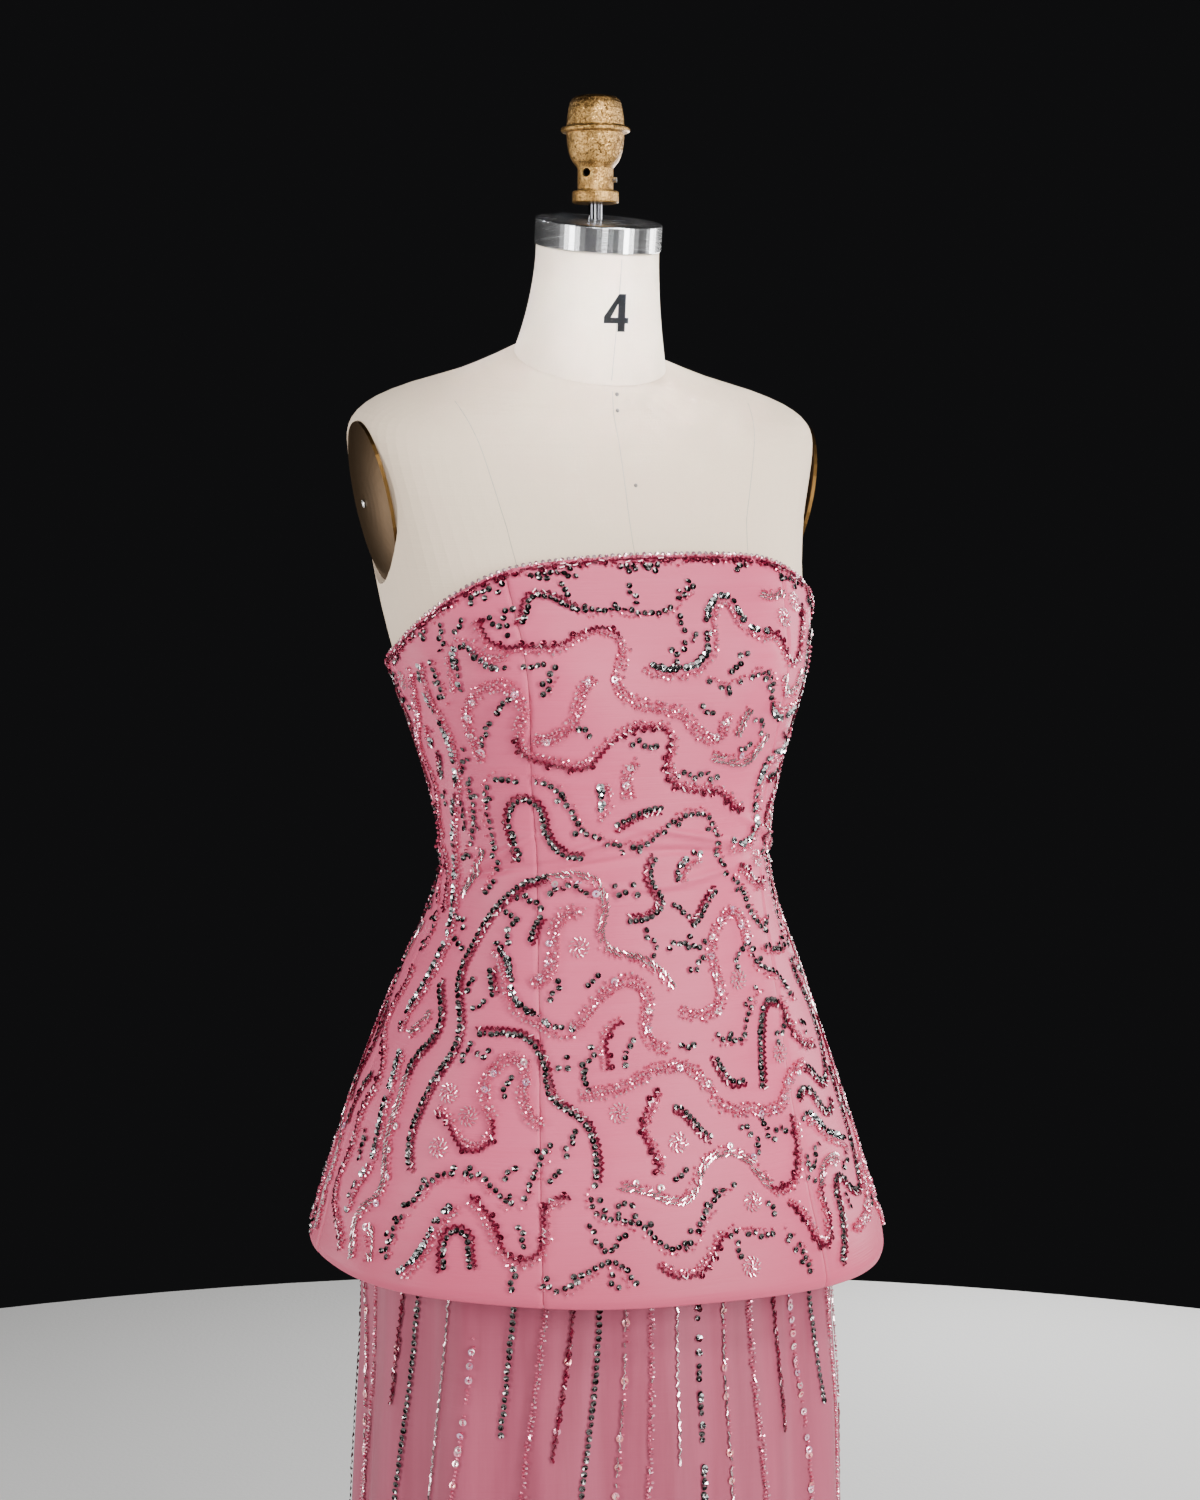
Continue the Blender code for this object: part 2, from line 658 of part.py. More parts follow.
# ---------------------------------------------------------------- the top


def make_top():
    hem, edge = peplum_hem_height, top_edge_height
    common = dict(surface=top_surface, coat=PINK_FAILLE, wall=TOP_WALL, bottom=hem, top=edge,
                  levels=even(TOP_ROWS))
    cloth_panel("top_front", left=princess(-1), right=princess(1), columns=12, **common)
    for side, word in ((-1, "right"), (1, "left")):
        front = princess(side)
        seam = fixed(side * SIDE_SEAM)
        behind = princess(side, behind=True)
        middle = fixed(side * HALF_TURN)
        zip_room = zipped(top_zip_low())
        edges = {
            "top_side_front": (front, seam, 9, sewn),
            "top_side_back": (seam, behind, 8, sewn),
            "top_back": (behind, middle, 6, zip_room),
        }
        for name, (near, far, columns, keeps) in edges.items():
            if side > 0:
                ends = dict(left=near, right=far, right_keeps=keeps)
            else:
                ends = dict(left=far, right=near, left_keeps=keeps)
            cloth_panel(f"{name}_{word}", columns=columns, **ends, **common)


# ---------------------------------------------------------------- the skirt


def make_skirt():
    levels = [(height - SKIRT_HEM) / (SKIRT_TOP - SKIRT_HEM) for height in SKIRT_LEVELS]
    common = dict(surface=skirt_surface, coat=DUSTY_SATIN, wall=SKIRT_WALL,
                  bottom=fixed(SKIRT_HEM), top=fixed(SKIRT_TOP), levels=levels)
    seam = QUARTER
    cloth_panel("skirt_front", left=fixed(-seam), right=fixed(seam), columns=42, **common)
    zip_room = zipped(SKIRT_ZIP_LOW)
    cloth_panel("skirt_back_left", left=fixed(seam), right=fixed(HALF_TURN), columns=21,
                right_keeps=zip_room, **common)
    cloth_panel("skirt_back_right", left=fixed(-HALF_TURN), right=fixed(-seam), columns=21,
                left_keeps=zip_room, **common)
    cloth_panel("skirt_waistband", waistband_surface, DUSTY_SATIN, WAISTBAND_WALL,
                left=fixed(-HALF_TURN), right=fixed(HALF_TURN), bottom=fixed(WAISTBAND_LOW),
                top=fixed(WAISTBAND_HIGH), columns=WAISTBAND_COLUMNS, levels=even(2))
    tape("skirt_zip", skirt_surface, PINK_TAPE, SKIRT_WALL, SKIRT_ZIP_LOW + SEAM_GAP, SKIRT_TOP, 5)


# ---------------------------------------------------------------- the top's zip


def box(centre, size):
    mesh = bmesh.new()
    bmesh.ops.create_cube(mesh, size=1.0)
    bmesh.ops.scale(mesh, vec=size, verts=mesh.verts)
    bmesh.ops.translate(mesh, vec=centre, verts=mesh.verts)
    return mesh


def make_zip():
    tape("top_zip", top_surface, PINK_TAPE, TOP_WALL, top_zip_low() + SEAM_GAP,
         top_edge_height(HALF_TURN), TOP_ZIP_ROWS)
    low = SLIDER_TOP - SLIDER_TALL
    face = max(top_surface(HALF_TURN, h).y for h in (low, SLIDER_TOP)) + SEAM_GAP
    centre = Vector((0.0, face + SLIDER_THICK / 2, (low + SLIDER_TOP) / 2))
    slider = finish("top_zip_slider", box(centre, (SLIDER_WIDTH, SLIDER_THICK, SLIDER_TALL)),
                    ZIP_METAL, smooth=False)
    hinge = Vector((0.0, face + SLIDER_THICK + LUG_OUT - PIN_FROM_LUG_END,
                    SLIDER_TOP - PIN_FROM_SLIDER_TOP))
    half_room = PULL_WIDTH / 2 + SEAM_GAP
    for side in (-1, 1):
        lug_centre = Vector((side * (half_room + LUG_THICK / 2),
                             face + SLIDER_THICK / 2 + LUG_OUT / 2, hinge.z))
        lug_size = (LUG_THICK, SLIDER_THICK + LUG_OUT - LUG_SUNK, LUG_TALL)
        lug = cutter("slider_lug", box(lug_centre, lug_size), Matrix())
        modify(slider, "BOOLEAN", operation="UNION", solver="EXACT", object=lug)
    reach = half_room + LUG_THICK / 2
    pin = turned([(PIN_RADIUS, -reach), (PIN_RADIUS, reach)], 16)
    pin_tool = cutter("slider_pin", pin, Matrix.Translation(hinge) @ Matrix.Rotation(QUARTER, 4, "Y"))
    modify(slider, "BOOLEAN", operation="UNION", solver="EXACT", object=pin_tool)
    make_pull(hinge)


def make_pull(hinge):
    """The pull: a knuckle round the pin with a flat tongue that hangs down and widens."""
    steps = 24
    opening = math.asin(PULL_THICK / 2 / KNUCKLE_OUTER)
    ring = []
    for k in range(steps + 1):
        a = opening + (2 * math.pi - 2 * opening) * k / steps
        ring.append((-KNUCKLE_OUTER * math.sin(a), -KNUCKLE_OUTER * math.cos(a)))
    outline = ring + [(PULL_THICK / 2, -PULL_LONG), (-PULL_THICK / 2, -PULL_LONG)]
    mesh = bmesh.new()
    sides = []
    for x in (-PULL_WIDTH / 2, PULL_WIDTH / 2):
        rim = [mesh.verts.new((x, y, z)) for y, z in outline]
        bore_angles = [2 * math.pi * k / steps for k in range(steps)]
        bore = [
            mesh.verts.new((x, -KNUCKLE_INNER * math.sin(a), -KNUCKLE_INNER * math.cos(a)))
            for a in bore_angles
        ]
        loops = [mesh.edges.new((loop[k], loop[(k + 1) % len(loop)]))
                 for loop in (rim, bore) for k in range(len(loop))]
        bmesh.ops.triangle_fill(mesh, edges=loops, use_beauty=True)
        sides.append((rim, bore))
    for low, high in zip(*sides):
        count = len(low)
        for k in range(count):
            mesh.faces.new((low[k], low[(k + 1) % count], high[(k + 1) % count], high[k]))
    for vert in mesh.verts:
        share = min(max(-vert.co.z / PULL_LONG, 0.0), 1.0)
        vert.co.x *= 1 + (PULL_FOOT_FLARE - 1) * share
    pull = finish("top_zip_pull", mesh, ZIP_METAL, smooth=False)
    pull.location = hinge


make_torso()
make_neck()
make_neck_plate()
make_spindle()
make_finial()
make_arm_plates()
make_stand()
make_top()
make_skirt()
make_zip()
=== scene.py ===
import math

import bmesh
import bpy
import numpy as np
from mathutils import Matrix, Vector


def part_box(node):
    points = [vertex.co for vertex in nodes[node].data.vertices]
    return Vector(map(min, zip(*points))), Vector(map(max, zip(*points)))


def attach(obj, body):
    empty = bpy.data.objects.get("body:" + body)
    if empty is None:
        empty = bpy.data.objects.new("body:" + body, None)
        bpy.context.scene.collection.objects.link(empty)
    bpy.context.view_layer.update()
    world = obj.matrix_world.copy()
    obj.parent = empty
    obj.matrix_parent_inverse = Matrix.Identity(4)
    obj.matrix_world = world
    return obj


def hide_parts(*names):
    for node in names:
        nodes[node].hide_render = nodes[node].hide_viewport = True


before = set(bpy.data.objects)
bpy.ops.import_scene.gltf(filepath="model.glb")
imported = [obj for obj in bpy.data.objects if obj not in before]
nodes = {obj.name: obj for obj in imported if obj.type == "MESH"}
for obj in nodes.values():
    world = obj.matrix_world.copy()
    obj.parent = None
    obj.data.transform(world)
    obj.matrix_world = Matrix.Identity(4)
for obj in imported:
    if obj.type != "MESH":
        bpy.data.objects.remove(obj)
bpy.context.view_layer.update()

GOWN = "gown_and_form"
TAU = 2 * math.pi

# ---------------------------------------------------------------- the studio
# A round, plain pale floor under soft light from tall boxes in front, at the sides and behind, with
# four small lamps high up that give the beads their sparks. The camera stands a little to the
# wearer's right, at the height of the neck, and looks slightly down.

CAMERA_PLACE = (-0.7004, -1.8733, 1.35)
CAMERA_HEADING = math.radians(20.592)
CAMERA_DOWN = math.radians(6.1)
CAMERA_LENS = 67.2
SENSOR_WIDTH = 36.0
NECK_BOX_SPREAD = math.radians(5.5)  # a gridded box, so it lights the neck only
SOFTBOXES = (                # name, place, aim, width, height, power in watts
    ("left_box", (-2.68, -0.26, 1.26), (0.0, 0.0, 1.02), 0.45, 1.8, 53.0),
    ("camera_box", (-0.98, -2.66, 1.75), (0.0, 0.0, 1.10), 0.4, 1.9, 36.0),
    ("key_box", (1.42, -2.46, 1.40), (0.0, 0.0, 1.05), 0.42, 2.2, 106.0),
    ("neck_box", (-0.85, -2.30, 2.70), (0.0, -0.04, 1.462), 0.12, 0.12, 0.28),
    ("right_box", (2.67, 0.36, 1.50), (0.0, 0.0, 1.10), 0.55, 1.8, 57.0),
    ("top_box", (0.45, -1.75, 3.15), (0.0, 0.0, 1.15), 1.2, 0.4, 50.0),
    ("rear_right_box", (1.70, 2.20, 0.95), (0.0, 0.0, 0.95), 1.0, 1.1, 38.0),
    ("rear_left_box", (-2.05, 1.75, 0.60), (0.0, 0.0, 1.00), 0.9, 0.8, 20.0),
    ("high_spark", (0.35, -2.70, 2.75), (0.0, 0.0, 1.10), 0.14, 0.14, 7.0),
    ("left_spark", (-2.00, -2.10, 2.15), (0.0, 0.0, 1.10), 0.14, 0.14, 5.0),
    ("right_spark", (2.35, -1.35, 2.30), (0.0, 0.0, 1.10), 0.14, 0.14, 6.0),
    ("rear_spark", (-1.60, 2.10, 2.30), (0.0, 0.0, 1.10), 0.14, 0.14, 6.0),
)
BACKDROP = (0.007, 0.007, 0.0075)
FLOOR_RADIUS = 2.5
FLOOR_SIDES = 160

camera = bpy.data.objects.new("camera", bpy.data.cameras.new("camera"))
camera.location = CAMERA_PLACE
camera.rotation_euler = (math.pi / 2 - CAMERA_DOWN, 0.0, -CAMERA_HEADING)
camera.data.lens = CAMERA_LENS
camera.data.sensor_width = SENSOR_WIDTH
bpy.context.scene.collection.objects.link(camera)
bpy.context.scene.camera = camera

for name, place, aim, width, height, power in SOFTBOXES:
    lamp = bpy.data.lights.new(name, "AREA")
    lamp.shape = "RECTANGLE"
    lamp.size, lamp.size_y, lamp.energy = width, height, power
    holder = bpy.data.objects.new(name, lamp)
    holder.location = place
    holder.rotation_euler = (Vector(aim) - Vector(place)).to_track_quat("-Z", "Y").to_euler()
    bpy.context.scene.collection.objects.link(holder)
bpy.data.lights["neck_box"].spread = NECK_BOX_SPREAD

studio = bpy.data.worlds.new("studio")
studio.use_nodes = True
studio.node_tree.nodes["Background"].inputs["Color"].default_value = (*BACKDROP, 1.0)
bpy.context.scene.world = studio


class Dye:
    """One output of a material's nodes. Sums and products of dyes add Math nodes."""

    def __init__(self, tree, socket):
        self.tree = tree
        self.socket = socket

    def node(self, kind, settings=None, sockets=None, out=0):
        """Adds any node: its settings first, then the values or dyes of its sockets."""
        made = self.tree.nodes.new("ShaderNode" + kind)
        for name, value in (settings or {}).items():
            setattr(made, name, value)
        for at, value in (sockets or {}).items():
            if isinstance(value, Dye):
                self.tree.links.new(value.socket, made.inputs[at])
            else:
                made.inputs[at].default_value = value
        return Dye(self.tree, made.outputs[out])

    def work(self, operation, first, second=0.0):
        return self.node("Math", {"operation": operation}, {0: first, 1: second})

    def __add__(self, other):
        return self.work("ADD", self, other)

    def __radd__(self, other):
        return self.work("ADD", other, self)

    def __sub__(self, other):
        return self.work("SUBTRACT", self, other)

    def __rsub__(self, other):
        return self.work("SUBTRACT", other, self)

    def __mul__(self, other):
        return self.work("MULTIPLY", self, other)

    def __rmul__(self, other):
        return self.work("MULTIPLY", other, self)

    def __pow__(self, other):
        return self.work("POWER", self, other)


def grain(place, scale, stretch=(1.0, 1.0, 1.0), detail=2.0):
    """Soft noise from 0 to 1, drawn out along any axis whose stretch is small."""
    drawn = place.node("VectorMath", {"operation": "MULTIPLY"}, {0: place, 1: stretch})
    return place.node("TexNoise", {}, {"Vector": drawn, "Scale": scale, "Detail": detail})


def between(low, high, value):
    """0 below low and 1 above high, and smooth from one to the other."""
    sockets = {"Value": value, "From Min": low, "From Max": high}
    return value.node("MapRange", {"interpolation_type": "SMOOTHSTEP"}, sockets)


def blended(share, first, second):
    """The first colour where share is 0 and the second where it is 1."""
    first, second = ((*c, 1.0) if isinstance(c, tuple) else c for c in (first, second))
    return share.node("Mix", {"data_type": "RGBA"}, {0: share, 6: first, 7: second}, out=2)


def relief(height, depth):
    """A surface raised by height times depth, which is in metres."""
    return height.node("Bump", {}, {"Height": height, "Distance": depth})


def finish_of(name, look, **fixed):
    """A material. look(place) gives its colour, its roughness and, where it has one, its normal.

    fixed gives what doesn't vary, by socket name.
    """
    made = bpy.data.materials.new(name)
    made.use_nodes = True
    tree = made.node_tree
    shader = tree.nodes["Principled BSDF"]
    for socket, value in fixed.items():
        shader.inputs[socket.replace("_", " ")].default_value = value
    start = tree.nodes.new("ShaderNodeTexCoord")
    looks = look(Dye(tree, start.outputs["Object"]))
    for socket, value in zip(("Base Color", "Roughness", "Normal"), looks):
        tree.links.new(value.socket, shader.inputs[socket])
    return made


def two_toned(pale, deep, scale, rough, rougher, fine, edges=None):
    """A look in two colours, blended by noise of one scale or along its edges.

    The roughness rises from rough by up to rougher, in noise of the scale fine.
    """
    def look(place):
        share = grain(place, scale)
        if edges:
            share = between(*edges, share)
        return blended(share, pale, deep), rough + rougher * grain(place, fine)
    return look


def studio_floor_look(place):
    cloudy = grain(place, 1.3)
    speckle = grain(place, 160.0)
    return (
        blended(cloudy, (0.62, 0.62, 0.61), (0.68, 0.67, 0.66)),
        0.72 + speckle * 0.12,
        relief(speckle, 0.0004),
    )


floor_mesh = bmesh.new()
bmesh.ops.create_circle(floor_mesh, cap_ends=True, segments=FLOOR_SIDES, radius=FLOOR_RADIUS)
floor_data = bpy.data.meshes.new("studio_floor")
floor_mesh.to_mesh(floor_data)
floor_mesh.free()
floor_data.materials.append(finish_of("painted_floor", studio_floor_look))
floor = bpy.data.objects.new("studio_floor", floor_data)
bpy.context.scene.collection.objects.link(floor)

# ---------------------------------------------------------------- the form's linen cover
# A limbless papier-mache form covered in bleached linen. The cover is sewn from gores: a seam runs
# down centre front and centre back, one from each shoulder in front and behind, and one round the
# foot of the neck. A size number is stencilled on the neck, and three tacks hold the cover.

LINEN_PALE = (0.83, 0.665, 0.500)
LINEN_DEEP = (0.74, 0.580, 0.428)
LIT_NECK_LINEN = (0.99, 0.850, 0.690)      # the neck's own piece, also painted paler for the stronger light on the neck
SEAM_WIDE = 0.0007
SEAM_HIGH = 0.00022
STRIP_CROWN = 0.4            # how wide the top of a seam is, as a share of its foot
NUMERAL_TALL = 0.0258
NUMERAL_WIDE = 0.0176
NUMERAL_FOOT = 1.4318
NUMERAL_ACROSS = -0.0024
NUMERAL_THICK = 0.00034
NUMERAL_OUTLINE = (          # across and up, as shares of the numeral's width and height
    (0.55, 0.00), (0.86, 0.00), (0.86, 0.22), (1.00, 0.22), (1.00, 0.375), (0.86, 0.375),
    (0.86, 1.00), (0.57, 1.00), (0.00, 0.40), (0.00, 0.22), (0.55, 0.22),
)
NUMERAL_EYE = ((0.55, 0.375), (0.27, 0.375), (0.55, 0.745))
NUMERAL_CUTS = 5             # of each edge, so that it lies round the neck
FORM_SEAMS = (               # node, behind or not, and how far across and how high its points are
    ("form_neck", False, ((0.0, 1.487), (-0.0012, 1.45), (-0.0042, 1.3985))),
    ("form_neck", True, ((0.0, 1.50), (0.0, 1.47), (0.0, 1.44))),
    ("form_torso", False, ((-0.004, 1.397), (-0.0034, 1.37), (-0.0015, 1.32), (0.0, 1.23))),
    ("form_torso", True, ((0.0, 1.418), (0.0, 1.35), (0.0, 1.25), (0.0, 1.17))),
    ("form_torso", False, ((0.110, 1.384), (0.101, 1.35), (0.089, 1.30), (0.080, 1.23))),
    ("form_torso", True, ((0.088, 1.390), (0.090, 1.34), (0.086, 1.27), (0.080, 1.18))),
)
SEAM_POINTS = 28
MIDDLE_SEAM = 0.05           # a seam that starts nearer the middle than this has no twin
TACKS = ((-0.0006, 1.3890), (-0.0006, 1.3778), (0.0062, 1.3262))
TACK_RADIUS = 0.0014
TACK_SUNK = 0.0004
TACK_DOME = (0.0, 0.4, 0.8, 1.2)     # angles up the dome
TACK_FLAT = 0.7


def linen_look(pale, deep):
    def look(place):
        warp = grain(place, 900.0, (1.0, 1.0, 0.06))
        weft = grain(place, 900.0, (0.05, 0.05, 1.0))
        aged = grain(place, 9.0, detail=4.0)
        weave = (warp + weft) * 0.5
        return (
            blended(aged * 0.7 + weave * 0.3, pale, deep),
            0.78 + weave * 0.16,
            relief(weave, 0.00025),
        )
    return look


def add_piece(name, mesh, coat, body=GOWN, smooth=True, replaces=(), slot=None):
    """Links a mesh as a piece of the object that rides on a body."""
    if isinstance(mesh, bmesh.types.BMesh):
        made = bpy.data.meshes.new(name)
        bmesh.ops.recalc_face_normals(mesh, faces=mesh.faces)
        mesh.to_mesh(made)
        mesh.free()
    else:
        made = mesh
    if smooth:
        made.shade_smooth()
    made.materials.append(coat)
    piece = bpy.data.objects.new(name, made)
    bpy.context.scene.collection.objects.link(piece)
    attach(piece, body)
    if replaces:
        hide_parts(*replaces)
    return piece


def dress_node(name, coat, bevel=0.0):
    """Gives a CAD node that keeps its shape a better finish."""
    thing = nodes[name]
    for slot in thing.material_slots:
        slot.material = coat
    if bevel:
        edge = thing.modifiers.new("rounded_edges", "BEVEL")
        edge.width, edge.segments, edge.limit_method = bevel, 3, "ANGLE"


def seat_on(node, x, z, behind=False):
    """Point and outward normal of a node's front or back at a place across and up."""
    start = Vector((x, 1.0 if behind else -1.0, z))
    hit, point, normal, _ = nodes[node].ray_cast(start, Vector((0.0, -1.0 if behind else 1.0, 0.0)))
    if not hit:
        raise ValueError(f"nothing of {node} at {x}, {z}")
    return point, normal


def strip_along(mesh, line, width, height):
    """A low flat bead of thread laid along points that each come with their normal."""
    rings = []
    for k, (point, normal) in enumerate(line):
        ahead = line[min(k + 1, len(line) - 1)][0] - line[max(k - 1, 0)][0]
        side = ahead.cross(normal).normalized() * (width / 2)
        low, high = point - normal * height, point + normal * height
        narrow = side * STRIP_CROWN
        section = (low - side, high - narrow, high + narrow, low + side)
        rings.append([mesh.verts.new(p) for p in section])
    for a, b in zip(rings, rings[1:]):
        for k in range(4):
            mesh.faces.new((a[k], a[(k + 1) % 4], b[(k + 1) % 4], b[k]))
    mesh.faces.new(rings[0][::-1])
    mesh.faces.new(rings[-1])


# the neck's linen is painted paler than the torso's: painted light on the neck
for node, pale, deep in (
    ("form_torso", LINEN_PALE, LINEN_DEEP), ("form_neck", LIT_NECK_LINEN, LINEN_PALE),
):
    linen = finish_of(node + "_linen", linen_look(pale, deep), Sheen_Weight=0.12,
                      Specular_IOR_Level=0.25)
    dress_node(node, linen)

seam_mesh = bmesh.new()
for node, behind, marks in FORM_SEAMS:
    heights = np.linspace(marks[0][1], marks[-1][1], SEAM_POINTS)
    across = np.interp(-heights, [-m[1] for m in marks], [m[0] for m in marks])
    for side in (1,) if abs(marks[0][0]) < MIDDLE_SEAM else (-1, 1):
        line = [seat_on(node, side * x, z, behind) for x, z in zip(across, heights)]
        strip_along(seam_mesh, line, SEAM_WIDE, SEAM_HIGH)


seam_look = two_toned((0.40, 0.345, 0.28), (0.56, 0.49, 0.41), 700.0, 0.8, 0.1, 300.0)
add_piece("form_seams", seam_mesh, finish_of("linen_seam", seam_look), slot="linen")


def numeral_look(place):
    worn = between(0.62, 0.80, grain(place, 420.0, detail=4.0))
    return blended(worn, (0.010, 0.010, 0.011), (0.045, 0.042, 0.040)), 0.55 + worn * 0.3


numeral = bmesh.new()
edges = []
for outline in (NUMERAL_OUTLINE, NUMERAL_EYE):
    loop = [numeral.verts.new((u - 0.5, v, 0.0)) for u, v in outline]
    edges += [numeral.edges.new((loop[k - 1], loop[k])) for k in range(len(loop))]
bmesh.ops.triangle_fill(numeral, edges=edges, use_beauty=True)
bmesh.ops.subdivide_edges(numeral, edges=numeral.edges, cuts=NUMERAL_CUTS, use_grid_fill=True)
bmesh.ops.triangulate(numeral, faces=numeral.faces)
for vert in numeral.verts:
    across = NUMERAL_ACROSS + vert.co.x * NUMERAL_WIDE
    up = vert.co.y * NUMERAL_TALL
    point, normal = seat_on("form_neck", across, NUMERAL_FOOT + up)
    vert.co = point + normal * NUMERAL_THICK
grown = bmesh.ops.extrude_face_region(numeral, geom=numeral.faces[:])
for item in grown["geom"]:
    if isinstance(item, bmesh.types.BMVert):
        item.co.y += 2 * NUMERAL_THICK
ink = finish_of("stencil_ink", numeral_look, Specular_IOR_Level=0.05)
add_piece("neck_size_number", numeral, ink, smooth=False, slot="linen")


def turned_on(mesh, point, normal, profile, steps=16):
    """Adds a small turned solid, from radius and height pairs, standing on a surface."""
    turn = normal.to_track_quat("Z", "Y")
    rings = [
        [
            mesh.verts.new(point + turn @ Vector((r * math.cos(a), r * math.sin(a), h)))
            for a in (TAU * k / steps for k in range(steps))
        ]
        for r, h in profile
    ]
    for low, high in zip(rings, rings[1:]):
        for k in range(steps):
            mesh.faces.new((low[k], low[(k + 1) % steps], high[(k + 1) % steps], high[k]))
    mesh.faces.new(rings[0][::-1])
    mesh.faces.new(rings[-1])


tack_look = two_toned((0.10, 0.09, 0.08), (0.30, 0.27, 0.24), 1500.0, 0.25, 0.2, 900.0)
tacks = bmesh.new()
for across, height in TACKS:
    point, normal = seat_on("form_torso", across, height)
    profile = [(TACK_RADIUS, -TACK_SUNK)]
    profile += [
        (math.cos(t) * TACK_RADIUS, math.sin(t) * TACK_RADIUS * TACK_FLAT) for t in TACK_DOME
    ]
    turned_on(tacks, point, normal, profile)
add_piece("form_tacks", tacks, finish_of("tack_steel", tack_look, Metallic=1.0), slot="screws")

# ---------------------------------------------------------------- the form's metal
# A polished steel plate closes the neck and carries a cast brass finial on a short spindle. Each
# armhole is closed by a domed bronze plate on one screw. All are turned or cast and bolted on.


def brushed_steel_look(place):
    lines = grain(place, 260.0, (0.04, 0.04, 4.0), detail=5.0)
    smears = grain(place, 26.0, (1.0, 1.0, 0.3))
    return (
        blended(smears, (0.46, 0.46, 0.47), (0.62, 0.62, 0.62)),
        0.15 + 0.13 * lines + 0.08 * smears,
        relief(lines, 0.00004),
    )


FINIAL_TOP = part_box("finial")[1][2]
CAP_SHADE_TOP = FINIAL_TOP - 0.002
CAP_SHADE_LOW = FINIAL_TOP - 0.013     # the painted shade on the cap's top reaches down to here
HOLE_TURN = math.radians(-51)
HOLE_HEIGHT = 1.5436
HOLE_SHADE_RADII = (0.0028, 0.0033)        # the radius of the painted shade round the hole's mouth, and where it fades


def cast_brass_look(place):
    sand = grain(place, 800.0, detail=4.0)
    pits = between(0.56, 0.68, grain(place, 560.0, detail=4.0))
    patches = grain(place, 210.0, detail=3.0)
    dark = between(0.42, 0.59, patches * 0.38 + sand * 0.62)
    sine, cosine = math.sin(HOLE_TURN), math.cos(HOLE_TURN)
    out, across = (
        place.node("VectorMath", {"operation": "DOT_PRODUCT"}, {0: place, 1: way}, out=1)
        for way in ((sine, -cosine, 0.0), (cosine, sine, 0.0))
    )
    height = place.node("SeparateXYZ", {}, {0: place}, out=2)
    from_hole = (across * across + (height - HOLE_HEIGHT) ** 2) ** 0.5
    # painted shade: a dark ring round the set-screw hole makes the hole look wider and deeper than
    # it is
    hole_shade = (1 - between(*HOLE_SHADE_RADII, from_hole)) * between(0, 0.001, out)
    # painted shade: the top of the cap is darkened, for the dark that it reflects from above
    cap_shade = between(CAP_SHADE_LOW, CAP_SHADE_TOP, height) * 0.75
    metal = blended(dark, (0.50, 0.290, 0.095), (0.20, 0.105, 0.030))
    metal = blended(cap_shade, blended(pits, metal, (0.13, 0.066, 0.02)), (0.085, 0.046, 0.016))
    return (
        blended(hole_shade, metal, (0.006, 0.004, 0.002)),
        0.20 + 0.26 * sand + 0.3 * hole_shade,
        relief(sand * 0.6 - pits * 0.4, 0.0010),
    )


def bronze_look(place):
    rubbed = grain(place, 38.0, (1.0, 1.0, 0.5), detail=4.0)
    fine = grain(place, 500.0, (1.0, 1.0, 0.2))
    return (
        blended(rubbed, (0.090, 0.047, 0.014), (0.040, 0.021, 0.006)),
        0.30 + 0.14 * rubbed + 0.06 * fine,
        relief(fine, 0.00004),
    )


def spindle_look(place):
    streaks = grain(place, 330.0, (1.0, 1.0, 0.05), detail=3.0)
    dark = between(0.38, 0.58, streaks)
    return blended(dark, (0.20, 0.20, 0.21), (0.04, 0.04, 0.045)), 0.08 + 0.16 * streaks


def iron_look(place):
    peel = grain(place, 340.0, detail=3.0)
    dust = between(0.52, 0.75, grain(place, 14.0, detail=5.0))
    return (
        blended(dust, (0.016, 0.016, 0.017), (0.045, 0.043, 0.042)),
        0.36 + 0.18 * peel + 0.1 * dust,
        relief(peel, 0.00035),
    )


screw_look = two_toned((0.50, 0.48, 0.45), (0.66, 0.65, 0.63), 700.0, 0.22, 0.16, 1200.0)
steel = finish_of("brushed_steel", brushed_steel_look, Metallic=1.0)
brass = finish_of("cast_brass", cast_brass_look, Metallic=1.0)
bronze = finish_of("rubbed_bronze", bronze_look, Metallic=1.0)
screw_steel = finish_of("screw_steel", screw_look, Metallic=1.0)
spindle_chrome = finish_of("spindle_chrome", spindle_look, Metallic=1.0)
black_iron = finish_of("black_iron", iron_look, Metallic=0.15)
for name, coat in (
    ("neck_plate", steel), ("neck_spindle", spindle_chrome), ("finial", brass),
    ("finial_set_screw", screw_steel), ("arm_plate_right", bronze), ("arm_plate_left", bronze),
    ("arm_plate_screw_right", screw_steel), ("arm_plate_screw_left", screw_steel),
    ("form_flange", black_iron), ("stand_pole", steel), ("stand_base", black_iron),
):
    dress_node(name, coat)

# ---------------------------------------------------------------- the skirt
# A long slim skirt cut in one front and two back panels: a fine net over dusty pink satin, gathered
# in so little that it only ripples. It hangs from a straight waistband that fastens at centre back
# with a short zip under the top. Its form is the CAD's, from the same level rings.

